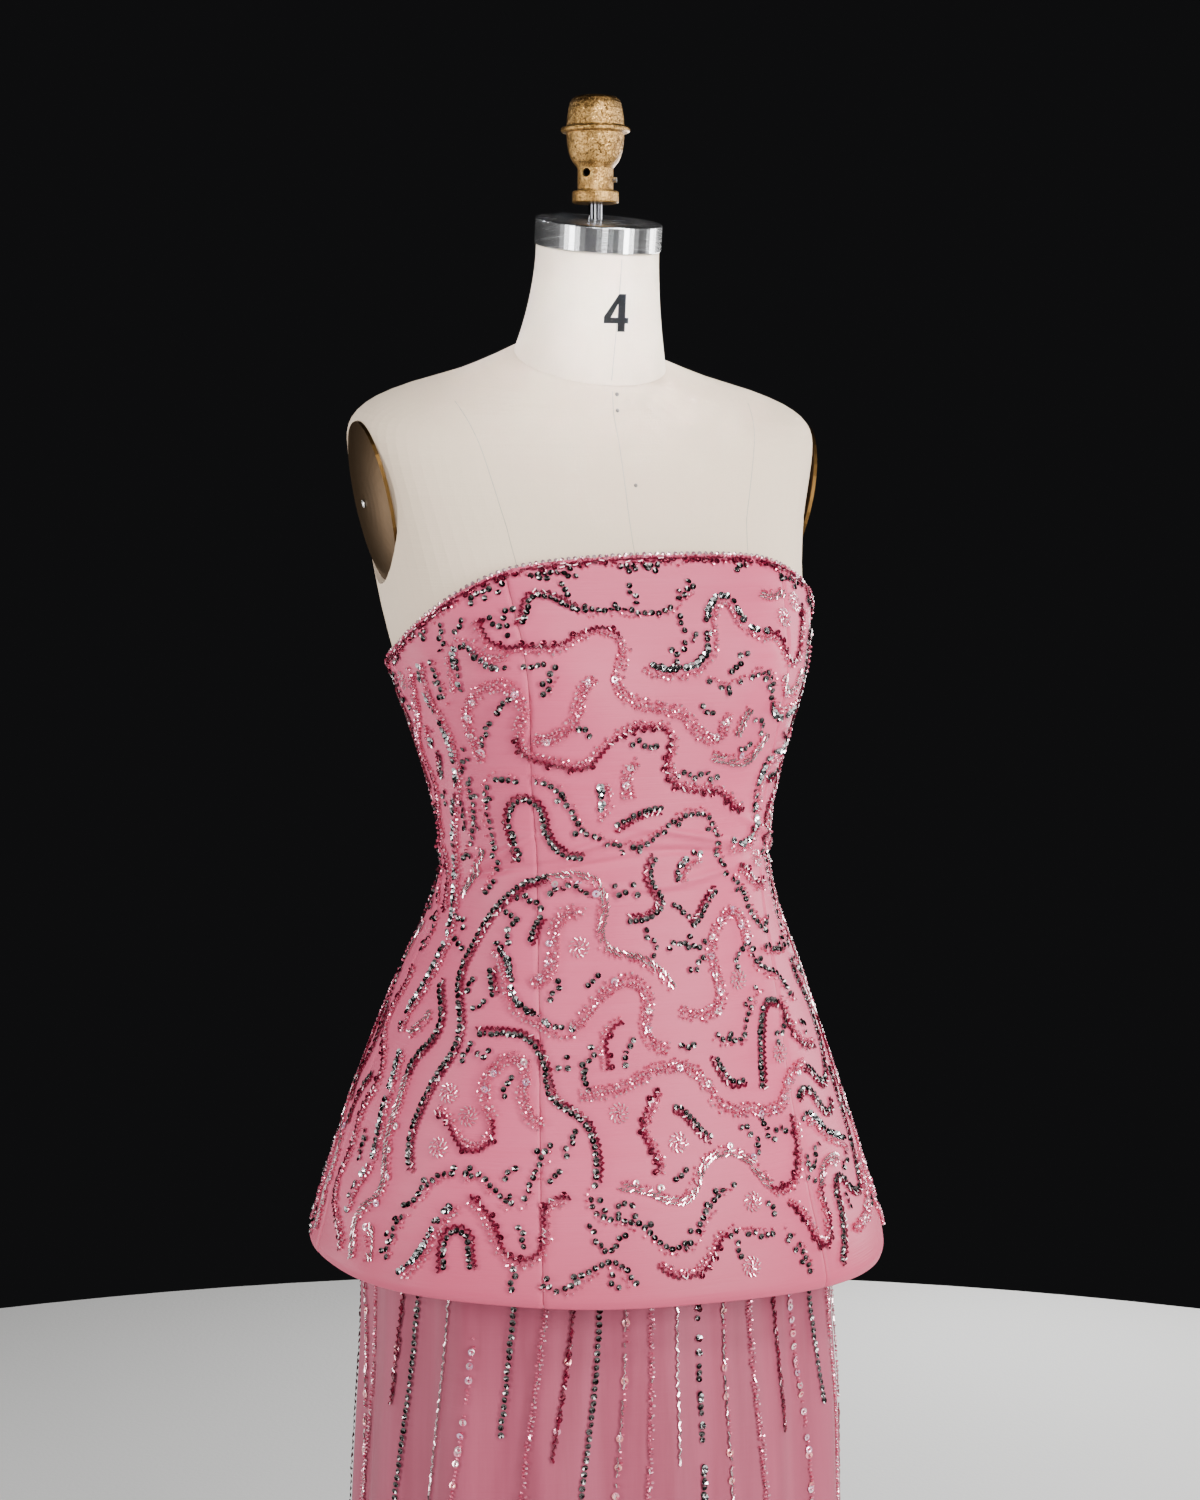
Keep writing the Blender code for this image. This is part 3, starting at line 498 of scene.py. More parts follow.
# A ring: height, half width, reach in front, reach behind, squareness
FIGURE = (
    (0.7, 0.136, 0.104, 0.096, 2.1), (0.71, 0.151, 0.116, 0.109, 2.15),
    (0.74, 0.158, 0.121, 0.115, 2.2), (0.8, 0.165, 0.127, 0.127, 2.2),
    (0.86, 0.165, 0.129, 0.13, 2.2), (0.92, 0.151, 0.123, 0.117, 2.2),
    (0.96, 0.1395, 0.12, 0.103, 2.2), (0.99, 0.13, 0.116, 0.092, 2.2),
    (1.025, 0.118, 0.111, 0.0795, 2.2), (1.055, 0.1112, 0.1085, 0.071, 2.2),
    (1.085, 0.112, 0.108, 0.0725, 2.2), (1.12, 0.119, 0.108, 0.0795, 2.25),
    (1.16, 0.1305, 0.107, 0.0875, 2.3), (1.2, 0.1435, 0.103, 0.096, 2.35),
    (1.24, 0.152, 0.094, 0.104, 2.4), (1.27, 0.155, 0.082, 0.109, 2.6),
    (1.303, 0.16, 0.0695, 0.112, 2.8), (1.32, 0.163, 0.0645, 0.112, 3.0),
)
SKIRT = (
    (0.012, 0.213, 0.195, 0.185, 2.0), (0.2, 0.2, 0.181, 0.168, 2.0),
    (0.4, 0.1885, 0.167, 0.152, 2.05), (0.54, 0.1805, 0.157, 0.14, 2.1),
    (0.6, 0.179, 0.152, 0.137, 2.1), (0.66, 0.176, 0.1485, 0.1325, 2.15),
    (0.72, 0.1725, 0.144, 0.131, 2.15), (0.78, 0.171, 0.139, 0.1325, 2.2),
    (0.84, 0.1705, 0.1345, 0.1345, 2.2),
)
WAIST = 1.055
HIP = 0.860
SKIRT_EASE = 0.0032
SKIRT_HEM = 0.012
SKIRT_TOP = 1.040
SKIRT_WALL = 0.0010
SKIRT_HEM_WALL = 0.0015
FOLD_DEPTH = ((0.012, 0.0075), (0.400, 0.0050), (0.700, 0.0028), (0.860, 0.0008), (0.980, 0.0))
FOLDS = 14                   # slow waves round the skirt, and half as many a little askew
RIPPLE_SHARE = 0.7
RIPPLE_ENDS = 0.16           # a ripple dies out over this height
RIPPLE_SWAY = math.radians(1.2)
RIPPLE_WAVES = 9.0
RIPPLES = (                  # angle in degrees, highest and lowest point, half width, how far out
    (-171, 0.84, 0.03, 2.6, 0.0012), (-158, 0.8, 0.3, 3.2, -0.0013),
    (-149, 0.83, 0.012, 2.4, 0.001), (-137, 0.79, 0.18, 3.0, -0.0011),
    (-126, 0.84, 0.4, 2.2, 0.0012), (-117, 0.82, 0.012, 2.8, 0.0011),
    (-104, 0.8, 0.25, 3.0, -0.0012), (-95, 0.84, 0.012, 2.5, 0.0013),
    (-83, 0.83, 0.012, 2.2, 0.0016), (-76, 0.8, 0.2, 2.4, -0.0013), (-66, 0.83, 0.34, 2.8, 0.0009),
    (-58, 0.82, 0.012, 2.5, -0.0012), (-48, 0.84, 0.1, 2.6, 0.0013), (-39, 0.8, 0.3, 2.9, -0.001),
    (-30, 0.83, 0.012, 2.4, 0.0009), (-22, 0.82, 0.22, 2.1, -0.0009),
    (-11, 0.84, 0.36, 2.7, 0.001), (-2, 0.81, 0.012, 2.5, -0.0011), (8, 0.83, 0.16, 2.3, 0.0008),
    (16, 0.8, 0.012, 2.6, -0.001), (24, 0.84, 0.28, 2.4, 0.0011), (33, 0.82, 0.012, 2.8, -0.001),
    (41, 0.84, 0.012, 2.0, 0.0018), (50, 0.81, 0.24, 2.5, -0.0012), (61, 0.84, 0.012, 2.6, 0.001),
    (70, 0.8, 0.38, 2.7, -0.0012), (80, 0.83, 0.012, 2.5, 0.0012), (92, 0.82, 0.15, 3.0, -0.0011),
    (103, 0.84, 0.012, 2.6, 0.0012), (115, 0.8, 0.33, 2.9, -0.0012),
    (127, 0.83, 0.012, 2.4, 0.0011), (138, 0.81, 0.21, 2.7, -0.001),
    (150, 0.84, 0.012, 2.5, 0.0012), (161, 0.82, 0.29, 3.0, -0.0012),
    (171, 0.83, 0.012, 2.4, 0.0009),
)


def eased(rows, at):
    """The other columns of a table at each height, on the smooth curve through its rows."""
    rows = np.array(rows, float)
    last = len(rows) - 1
    at = np.clip(at, rows[0, 0], rows[last, 0])
    k = np.clip(np.searchsorted(rows[:, 0], at) - 1, 0, last - 1)
    low, high = rows[k], rows[k + 1]
    before, after = rows[np.maximum(k - 1, 0)], rows[np.minimum(k + 2, last)]
    span = high[:, :1] - low[:, :1]
    t = (at - low[:, 0])[:, None] / span
    slope_low = (high - before) / (high[:, :1] - before[:, :1])
    slope_high = (after - low) / (after[:, :1] - low[:, :1])
    return (
        (2 * t**3 - 3 * t**2 + 1) * low + (t**3 - 2 * t**2 + t) * span * slope_low
        + (3 * t**2 - 2 * t**3) * high + (t**3 - t**2) * span * slope_high
    )[:, 1:]


def on_ring(rings, angle, height):
    """Points of the level rings, which are ovals with fuller corners, at angles and heights."""
    half_width, front, back, squareness = eased(rings, height).T
    power = 2 / squareness
    sine, cosine = np.sin(angle), np.cos(angle)
    x = half_width * np.sign(sine) * np.abs(sine) ** power
    y = (back - front) / 2 - (front + back) / 2 * np.sign(cosine) * np.abs(cosine) ** power
    return np.stack([x, y, height], axis=1)


def widened(rings, ease):
    return tuple((z, w + ease, f + ease, b + ease, square) for z, w, f, b, square in rings)


def window(value, low, high, soft):
    """1 between low and high, falling softly to 0 outside."""
    rise = np.clip((value - low) / soft + 0.5, 0, 1)
    fall = np.clip((high - value) / soft + 0.5, 0, 1)
    return (rise * rise * (3 - 2 * rise)) * (fall * fall * (3 - 2 * fall))


def unit(vectors):
    return vectors / np.linalg.norm(vectors, axis=1)[:, None]


def wrapped(turn):
    """A turn taken the shorter way round."""
    return (turn + math.pi) % TAU - math.pi


def stood_out(point, stand):
    """Points moved level by their stand, straight away from the middle."""
    return point + unit(point * (1.0, 1.0, 0.0)) * stand[:, None]


SKIRT_RINGS = SKIRT + widened([r for r in FIGURE if HIP <= r[0] <= WAIST], SKIRT_EASE)


def skirt_cloth(angle, height):
    """The skirt's outside: its form, its slow folds and the ripples laid over them."""
    point = on_ring(SKIRT_RINGS, angle, height)
    fold = np.cos(FOLDS * angle) + 0.4 * np.sin(FOLDS / 2 * angle + 0.6)
    stand = eased(FOLD_DEPTH, height)[:, 0] * fold
    for at, high, low, half, out in RIPPLES:
        sway = RIPPLE_SWAY * np.sin(height * RIPPLE_WAVES + at)
        turn = wrapped(angle - math.radians(at) - sway)
        ripple = out * np.exp(-((turn / math.radians(half)) ** 2))
        stand += RIPPLE_SHARE * ripple * window(height, low, high, RIPPLE_ENDS)
    return stood_out(point, stand)


PROBE = 0.0015               # radians or metres to each side, for a surface's directions
SEAM_WIDTH = 0.0011          # the cloth turns in at a seam over about this width
SEAM_ROOM = 0.00015
ZIP_ROOM = 0.0035
SETTLING = 6                 # rounds that settle height and angle where an edge slopes
CURL = tuple(math.radians(turn) for turn in (30, 60, 90))


def frame_at(surface, angle, height):
    """Points of a surface with its directions: along the ring, and straight out of the cloth."""
    along = unit(surface(angle + PROBE, height) - surface(angle - PROBE, height))
    up = surface(angle, height + PROBE) - surface(angle, height - PROBE)
    return surface(angle, height), along, unit(np.cross(along, up))


def shares(count, width, edge=(0.0, 0.0005, 0.0014, 0.003, 0.006)):
    """Shares across a panel: even in the middle, with a few close lines beside each seam."""
    near = [e / width for e in edge]
    middle = np.linspace(near[-1], 1 - near[-1], count + 1)[1:-1]
    return np.array([*near, *middle, *[1 - n for n in reversed(near)]])


def cloth_shell(surface, left, right, bottom, top, across, levels, walls, keeps, dip):
    """A cut piece as one closed thin shell that lies on a surface, with a round foot and head.

    left and right are functions of height and bottom and top of angle. walls gives the thickness
    at each level from the bottom up, keeps the room left at each side seam, and dip how deep the
    cloth turns in at a seam.
    """
    share, level = (g.ravel() for g in np.meshgrid(across, levels, indexing="ij"))
    height = np.full(len(share), (bottom(np.zeros(1)) + top(np.zeros(1)))[0] / 2)
    for _ in range(SETTLING):
        near, far = left(height), right(height)
        angle = near + (far - near) * share
        height = bottom(angle) + (top(angle) - bottom(angle)) * level
    point, along, out = frame_at(surface, angle, height)
    point += along * np.where(share == 0, keeps[0](height), 0)[:, None]
    point -= along * np.where(share == 1, keeps[1](height), 0)[:, None]
    shape = (len(across), len(levels))
    step = np.linalg.norm(np.diff(point.reshape(*shape, 3), axis=0), axis=2)
    run = np.concatenate([np.zeros((1, shape[1])), np.cumsum(step, axis=0)])
    to_seam = np.minimum(run, run[-1] - run).ravel()
    point -= out * (dip * np.exp(-((to_seam / SEAM_WIDTH) ** 2)))[:, None]
    down = np.cross(out, along) * -1.0
    wall = np.interp(level, levels, walls)
    inner = point - out * wall[:, None]
    outer, inner, out, down = (v.reshape(*shape, 3) for v in (point, inner, out, down))

    def round_edge(row, way, half, sign):
        """Lines of points round the foot or head, on the outer or the inner side."""
        middle = (outer[:, row] + inner[:, row]) / 2
        level, upright = out[:, row] * half * sign, way * down[:, row] * half
        return [
            middle + level * math.cos(c) + upright * math.sin(c)
            for c in CURL[: 2 if sign > 0 else 3]
        ]

    foot, head = walls[0] / 2, walls[-1] / 2
    rim = [outer[:, row] for row in range(shape[1] - 1, -1, -1)]
    rim += round_edge(0, 1, foot, 1)
    lining = [inner[:, row] for row in range(shape[1] - 1, -1, -1)]
    lining += round_edge(0, 1, foot, -1)[:2]
    head_outer = round_edge(-1, -1, head, 1)[::-1]
    head_inner = round_edge(-1, -1, head, -1)[:2][::-1]
    rim, lining = head_outer + rim, head_inner + lining
    loop = np.stack(rim + lining[::-1], axis=1)
    columns, count = loop.shape[:2]
    half = count // 2
    index = np.arange(columns * count).reshape(columns, count)
    here, there = index[:-1], index[1:]
    ahead = np.roll(index, -1, axis=1)
    faces = np.stack([here, ahead[:-1], ahead[1:], there], axis=2).reshape(-1, 4)
    pairs = np.arange(half - 1)
    for column, order in ((0, (0, 1, 2, 3)), (columns - 1, (3, 2, 1, 0))):
        ids = index[column]
        across_wall = (pairs, count - 1 - pairs, count - 2 - pairs, pairs + 1)
        cap = np.stack([ids[k] for k in across_wall], axis=1)
        faces = np.concatenate([faces, cap[:, order]])
    return loop.reshape(-1, 3), faces


def mesh_of(name, points, faces):
    made = bpy.data.meshes.new(name)
    made.from_pydata(points.tolist(), [], faces.tolist())
    made.update()
    return made


def fixed(value):
    return lambda at: np.full(np.shape(at), float(value))


sewn = fixed(SEAM_ROOM)


def zipped(low):
    """Room for a zip along an edge above a height, and a plain seam below it."""
    return lambda height: np.where(height > low - 0.0003, ZIP_ROOM, SEAM_ROOM)


SATIN_DEEP = (0.262, 0.046, 0.081)
SATIN_PALE = (0.340, 0.067, 0.114)


def dusty_satin_look(place):
    net = grain(place, 520.0, (1.0, 1.0, 0.03), detail=2.0)
    moire = grain(place, 52.0, (1.0, 1.0, 0.05), detail=3.0)
    weft = grain(place, 420.0, (0.02, 0.02, 1.0))
    shade = between(0.32, 0.68, moire)
    return (
        blended(shade * 0.75 + net * 0.25, SATIN_DEEP, SATIN_PALE),
        0.42 + 0.14 * net + 0.06 * moire,
        relief(weft * 0.6 + net * 0.4, 0.00016),
    )


dusty_satin = finish_of(
    "dusty_pink_satin", dusty_satin_look, Sheen_Weight=0.08, Sheen_Roughness=0.4,
    Sheen_Tint=(0.95, 0.60, 0.68, 1.0), Specular_IOR_Level=0.28,
)
TAPE_SECTION = (             # across the tape, and how far out of the cloth's face
    (-0.0031, -0.0011), (-0.0031, -0.0007), (-0.0027, -0.0005), (-0.0020, -0.0006),
    (-0.0004, -0.0007), (0.0, -0.0009), (0.0004, -0.0007), (0.0020, -0.0006), (0.0027, -0.0005),
    (0.0031, -0.0007), (0.0031, -0.0011), (0.0, -0.0012),
)
TAPE_STEP = 0.003


def tape_look(place):
    twill = grain(place, 900.0, (1.0, 1.0, 0.5))
    wale = grain(place, 300.0, (1.0, 1.0, 0.04))
    return (
        blended(twill * 0.6 + wale * 0.4, (0.36, 0.050, 0.092), (0.50, 0.086, 0.150)),
        0.60 + 0.2 * twill,
        relief(twill, 0.0002),
    )


tape_weave = finish_of("zip_tape", tape_look, Sheen_Weight=0.1, Specular_IOR_Level=0.2)


def zip_tape(node, surface, foot, head):
    """The woven tape of a zip down centre back. It lies just inside the cloth's face."""
    heights = np.linspace(foot, head, round((head - foot) / TAPE_STEP) + 1)
    point, along, out = frame_at(surface, np.full(len(heights), math.pi), heights)
    loop = np.stack([point + along * a + out * o for a, o in TAPE_SECTION], axis=1)
    count, corners = loop.shape[:2]
    index = np.arange(count * corners).reshape(count, corners)
    ahead = np.roll(index, -1, axis=1)
    sides = np.stack([index[:-1], ahead[:-1], ahead[1:], index[1:]], axis=2).reshape(-1, 4)
    ends = [index[0][::-1].tolist(), index[-1].tolist()]
    made = bpy.data.meshes.new(node + "_tape")
    made.from_pydata(loop.reshape(-1, 3).tolist(), [], sides.tolist() + ends)
    made.update()
    return add_piece(node + "_tape", made, tape_weave, smooth=False, replaces=[node],
                     slot="zip_tape")


SKIRT_ZIP_LOW = 0.895
SKIRT_ZIP_SPAN = (SKIRT_ZIP_LOW + 0.0003, SKIRT_TOP - 0.0002)
SKIRT_PANELS = (             # its edges in degrees, columns, and the cut's width, length and area
    ("skirt_front", -90, 90, 156, 0.675, 1.037, 0.5602),
    ("skirt_back_left", 90, 180, 78, 0.339, 1.040, 0.2834),
    ("skirt_back_right", -180, -90, 78, 0.339, 1.040, 0.2819),
)
SKIRT_MEAN_RADIUS = 0.18
SKIRT_HEM_TURN = 0.02        # as a share of the skirt's length, like the levels
SKIRT_DIP = 0.0006
skirt_levels = np.array([0.0, 0.0008, 0.0022, 0.005, *np.linspace(0.012, 0.995, 74), 1.0])
skirt_walls = np.where(skirt_levels < SKIRT_HEM_TURN, SKIRT_HEM_WALL, SKIRT_WALL)
skirt_tape = zip_tape("skirt_zip", skirt_cloth, *SKIRT_ZIP_SPAN)
for name, left, right, columns, cut_wide, cut_long, cut_area in SKIRT_PANELS:
    left, right = math.radians(left), math.radians(right)
    room = zipped(SKIRT_ZIP_LOW)
    keeps = (room if left < -3 else sewn, room if right > 3 else sewn)
    points, faces = cloth_shell(
        skirt_cloth, fixed(left), fixed(right), fixed(SKIRT_HEM), fixed(SKIRT_TOP),
        shares(columns, SKIRT_MEAN_RADIUS * (right - left)), skirt_levels, skirt_walls, keeps,
        SKIRT_DIP,
    )
    mesh = mesh_of(name + "_cloth", points, faces)
    piece = add_piece(name + "_cloth", mesh, dusty_satin, replaces=[name], slot="skirt_cloth")
    [skirt_tape] if name == "skirt_back_left" else []

WAISTBAND_LOW = 1.0403
WAISTBAND_HIGH = 1.0700
WAISTBAND_EASE = 0.0025      # of its outside from the figure
WAISTBAND_LEVELS = np.linspace(0, 1, 9)
WAISTBAND_WALLS = np.full(9, 0.0016)
BAND_DIP = 0.0004
BAND_END = math.pi - 0.001


def waistband_surface(angle, height):
    return on_ring(widened(FIGURE, WAISTBAND_EASE), angle, height)


points, faces = cloth_shell(
    waistband_surface, fixed(-BAND_END), fixed(BAND_END), fixed(WAISTBAND_LOW),
    fixed(WAISTBAND_HIGH), shares(110, 0.66), WAISTBAND_LEVELS, WAISTBAND_WALLS, (sewn, sewn),
    BAND_DIP,
)
waistband = add_piece("skirt_waistband_cloth", mesh_of("skirt_waistband_cloth", points, faces),
                      dusty_satin, replaces=["skirt_waistband"], slot="skirt_cloth")

# ---------------------------------------------------------------- the top
# Strapless and boned, in pink faille on a stiff backing: a centre front, two side fronts, two side
# backs and two backs, each cut in one with its share of the peplum and joined by princess and side
# seams. The hem is turned up thickly. It only creases a little, where it pulls in at the waist.

PEPLUM = (
    (0.765, 0.213, 0.1775, 0.165, 2.2), (0.79, 0.21, 0.1735, 0.1625, 2.18),
    (0.81, 0.204, 0.168, 0.159, 2.15), (0.83, 0.199, 0.161, 0.155, 2.1),
    (0.87, 0.1855, 0.149, 0.145, 2.15), (0.91, 0.1715, 0.139, 0.133, 2.15),
    (0.95, 0.156, 0.132, 0.118, 2.2), (0.99, 0.1405, 0.1245, 0.102, 2.2),
    (1.025, 0.126, 0.1185, 0.088, 2.2),
)
TOP_EASE_WAIST = 0.0068
TOP_EASE_BUST = 0.0058
TOP_CLOSE_FROM = 1.120
BUST_HEIGHT = 1.205
BUST_APART = 0.083
BUST_WIDE = 0.062
BUST_TALL = 0.056
BUST_FULL = 0.017
FACING_EDGE = 0.15           # how far round to the sides the bust reaches, as a cosine
FACING_SOFT = 0.5
PEPLUM_HEM = 0.7775
PEPLUM_HEM_DROP = 0.0095
TOP_EDGE = (
    (0.0, 1.2785), (17.0, 1.2765), (30.0, 1.2722), (44.0, 1.262), (60.0, 1.2465), (75.0, 1.231),
    (90.0, 1.217), (112.0, 1.203), (145.0, 1.197), (180.0, 1.195),
)
TOP_EDGE_LIFT = 0.0055
PRINCESS = (                 # height, distance of the princess seams from the middle
    (0.765, 0.107), (0.89, 0.096), (0.98, 0.09), (1.07, 0.086), (1.13, 0.091), (1.2, 0.098),
    (1.28, 0.105),
)
FRONT_SHIFT = 0.008
SIDE_SEAM = math.radians(92)
TOP_WALL = 0.0013
TOP_HEM_WALL = 0.0027
TOP_EDGE_WALL = 0.0022
TOP_DIP = 0.0012
TURNED_HEM = (0.045, 0.052)  # the share of the top's height where the turned hem ends
TURNED_EDGE = 0.97
DRAGS = (                    # angle, height, half length in degrees, slope, half width, how far out
    (-20, 1.083, 17, 0.01, 0.005, 0.001), (-17, 1.071, 20, 0.006, 0.0045, -0.001),
    (-24, 1.057, 15, -0.004, 0.005, 0.0009), (12, 1.088, 18, -0.008, 0.005, 0.0009),
    (15, 1.076, 22, -0.004, 0.0048, -0.001), (20, 1.06, 16, 0.006, 0.0052, 0.0009),
    (-3, 1.049, 14, 0.0, 0.005, -0.0007), (-52, 1.079, 16, 0.014, 0.0052, 0.001),
    (-57, 1.064, 18, 0.006, 0.005, -0.0011), (55, 1.082, 17, -0.012, 0.0052, 0.001),
    (60, 1.066, 18, -0.004, 0.005, -0.0011), (-102, 1.072, 17, 0.008, 0.0052, 0.001),
    (-108, 1.058, 15, -0.004, 0.005, -0.001), (104, 1.074, 18, -0.007, 0.0052, 0.001),
    (110, 1.059, 16, 0.004, 0.005, -0.001), (-146, 1.078, 18, -0.01, 0.0054, 0.0011),
    (-150, 1.062, 20, -0.004, 0.005, -0.0011), (148, 1.08, 17, 0.01, 0.0054, 0.0011),
    (152, 1.063, 19, 0.004, 0.005, -0.001), (-38, 1.215, 12, 0.02, 0.008, -0.0006),
    (36, 1.218, 12, -0.02, 0.008, -0.0006),
)
HEM_CURL = 0.0022            # how far the turned hem rolls in, over HEM_CURL_TALL
HEM_CURL_TALL = 0.0075
RIDGE_FULL = 2.9
TROUGH_FULL = 2.2
DRAG_CLOSE = 0.58
SWELL_TOP = 0.95
SWELL_TALL = 0.17
SWELLS = (                   # slow ripples of the peplum: angle, half width, how far out at the hem
    (-170, 13, 0.0014), (-141, 12, -0.0016), (-112, 14, 0.0015), (-84, 11, -0.0012),
    (-61, 12, 0.0015), (-36, 10, -0.0012), (-14, 12, 0.001), (9, 11, -0.0012), (34, 12, 0.0013),
    (63, 13, -0.0013), (90, 12, 0.0013), (118, 13, -0.0015), (146, 12, 0.0014), (172, 10, -0.0012),
)


def top_ease(height):
    share = min(max((height - WAIST) / (TOP_CLOSE_FROM - WAIST), 0.0), 1.0)
    return TOP_EASE_WAIST + (TOP_EASE_BUST - TOP_EASE_WAIST) * share


TOP_RINGS = PEPLUM
for ring in FIGURE:
    if ring[0] >= WAIST:
        TOP_RINGS += widened([ring], top_ease(ring[0]))


def top_cloth(angle, height):
    """The outside of the top: its form, the bust, the waist's drags and the peplum's swells."""
    point = on_ring(TOP_RINGS, angle, height)
    facing = np.clip((np.cos(angle) + FACING_EDGE) / FACING_SOFT, 0, 1)
    lift = np.exp(-(((height - BUST_HEIGHT) / BUST_TALL) ** 2))
    pair = sum(np.exp(-(((point[:, 0] - s * BUST_APART) / BUST_WIDE) ** 2)) for s in (-1, 1))
    point[:, 1] -= BUST_FULL * facing * lift * pair
    stand = np.zeros(len(angle))
    for at, middle, half, slope, wide, out in DRAGS:
        turn = wrapped(angle - math.radians(at))
        line = middle + slope * turn / math.radians(half)
        full = RIDGE_FULL if out > 0 else TROUGH_FULL
        stand += full * out * np.exp(
            -((turn / math.radians(half)) ** 2) - ((height - line) / (wide * DRAG_CLOSE)) ** 2
        )
    low = np.clip((SWELL_TOP - height) / SWELL_TALL, 0, 1) ** 1.5
    for at, half, out in SWELLS:
        turn = wrapped(angle - math.radians(at))
        stand += out * low * np.exp(-((turn / math.radians(half)) ** 2))
    to_hem = (hem_height(angle) + HEM_CURL_TALL - height) / HEM_CURL_TALL
    stand -= HEM_CURL * np.clip(to_hem, 0, 1) ** 2
    return stood_out(point, stand)


def edge_height(angle):
    return eased(TOP_EDGE, np.degrees(np.abs(angle)))[:, 0] + TOP_EDGE_LIFT * np.sin(angle)


def hem_height(angle):
    return PEPLUM_HEM - PEPLUM_HEM_DROP * np.sin(angle)


def princess(side, behind=False):
    """The angle of a princess seam at each height."""
    def at(height):
        half_width, _, _, squareness = eased(TOP_RINGS, height).T
        reach = eased(PRINCESS, height)[:, 0] + (0 if behind else side * FRONT_SHIFT)
        angle = np.arcsin((reach / half_width) ** (squareness / 2))
        return side * (math.pi - angle if behind else angle)
    return at


HEM_SHADE_SPAN = (0.780, 0.860)  # the cloth is painted darker towards the hem, as painted shade, between these heights


def faille_look(place):
    height = place.node("SeparateXYZ", {}, {0: place}, out=2)
    # painted shade: the cloth darkens towards the hem, for the light that fades lower down
    hem_shade = 1 - between(*HEM_SHADE_SPAN, height)
    rib = grain(place, 760.0, (0.035, 0.035, 1.0), detail=2.0)
    rib_wide = grain(place, 230.0, (0.03, 0.03, 1.0), detail=2.0)
    slub = grain(place, 34.0, (0.3, 0.3, 3.0), detail=3.0)
    ribs = rib * 0.6 + rib_wide * 0.4
    dyed = blended(slub * 0.5 + ribs * 0.5, (0.535, 0.070, 0.138), (0.610, 0.110, 0.199))
    return (
        blended(hem_shade * 0.5, dyed, (0.40, 0.050, 0.095)),
        0.40 + 0.16 * ribs,
        relief(ribs, 0.00030),
    )


faille = finish_of("pink_faille", faille_look, Sheen_Weight=0.07, Sheen_Roughness=0.35,
                   Sheen_Tint=(1.0, 0.62, 0.70, 1.0), Specular_IOR_Level=0.25)
TOP_BACK_EDGE = 1.1950
TOP_ZIP_LOW = TOP_BACK_EDGE - (TOP_BACK_EDGE - PEPLUM_HEM) * 10 / 14
TOP_ZIP_SPAN = (TOP_ZIP_LOW + 0.0006, TOP_BACK_EDGE - 0.0002)
top_tape = zip_tape("top_zip", top_cloth, *TOP_ZIP_SPAN)
top_levels = np.array([
    0.0, 0.003, 0.0065, 0.010, 0.015, 0.022, *np.linspace(0.035, 0.520, 42),
    *np.linspace(0.524, 0.652, 58), *np.linspace(0.660, 0.970, 35), 0.985, 0.995, 1.0,
])
top_walls = np.interp(top_levels, [0.0, *TURNED_HEM, TURNED_EDGE, 1.0],
                      [TOP_HEM_WALL, TOP_HEM_WALL, TOP_WALL, TOP_WALL, TOP_EDGE_WALL])
TOP_CUTS = {                 # width, length and area of what shows of each piece's cut
    "top_front": (0.217, 0.522, 0.1027),
    "top_side_front_left": (0.198, 0.518, 0.0614), "top_side_front_right": (0.213, 0.506, 0.0665),
    "top_side_back_left": (0.190, 0.478, 0.0561), "top_side_back_right": (0.189, 0.447, 0.0522),
    "top_back_left": (0.109, 0.451, 0.0443), "top_back_right": (0.108, 0.435, 0.0435),
}
TOP_KINDS = (("side_front", 40, 0.17), ("side_back", 36, 0.15), ("back", 27, 0.11))
panels = [("top_front", princess(-1), princess(1), 52, 0.24, (sewn, sewn))]
for side, word in ((1, "left"), (-1, "right")):
    lines = [princess(side), fixed(side * SIDE_SEAM), princess(side, behind=True),
             fixed(side * math.pi)]
    for k, (kind, columns, wide) in enumerate(TOP_KINDS):
        keeps = [sewn, zipped(TOP_ZIP_LOW) if kind == "back" else sewn]
        ends = [lines[k], lines[k + 1]]
        if side < 0:
            keeps.reverse()
            ends.reverse()
        panels.append((f"top_{kind}_{word}", *ends, columns, wide, tuple(keeps)))
for name, left, right, columns, wide, keeps in panels:
    points, faces = cloth_shell(
        top_cloth, left, right, hem_height, edge_height, shares(columns, wide), top_levels,
        top_walls, keeps, TOP_DIP,
    )
    mesh = mesh_of(name + "_cloth", points, faces)
    piece = add_piece(name + "_cloth", mesh, faille, replaces=[name], slot="top_cloth")
    *cut, cut_area = TOP_CUTS[name]
    [top_tape] if name == "top_back_left" else []

# ---------------------------------------------------------------- the beads and how they are sewn
# Small glass and metallised beads, each held by a thread through its hole: faceted cup sequins that
# sit hollow side up, round seeds and short bugles that lie along the thread, and flat paillettes.
# They are sewn in lines a few beads wide, never quite even, so each one tips its own way.

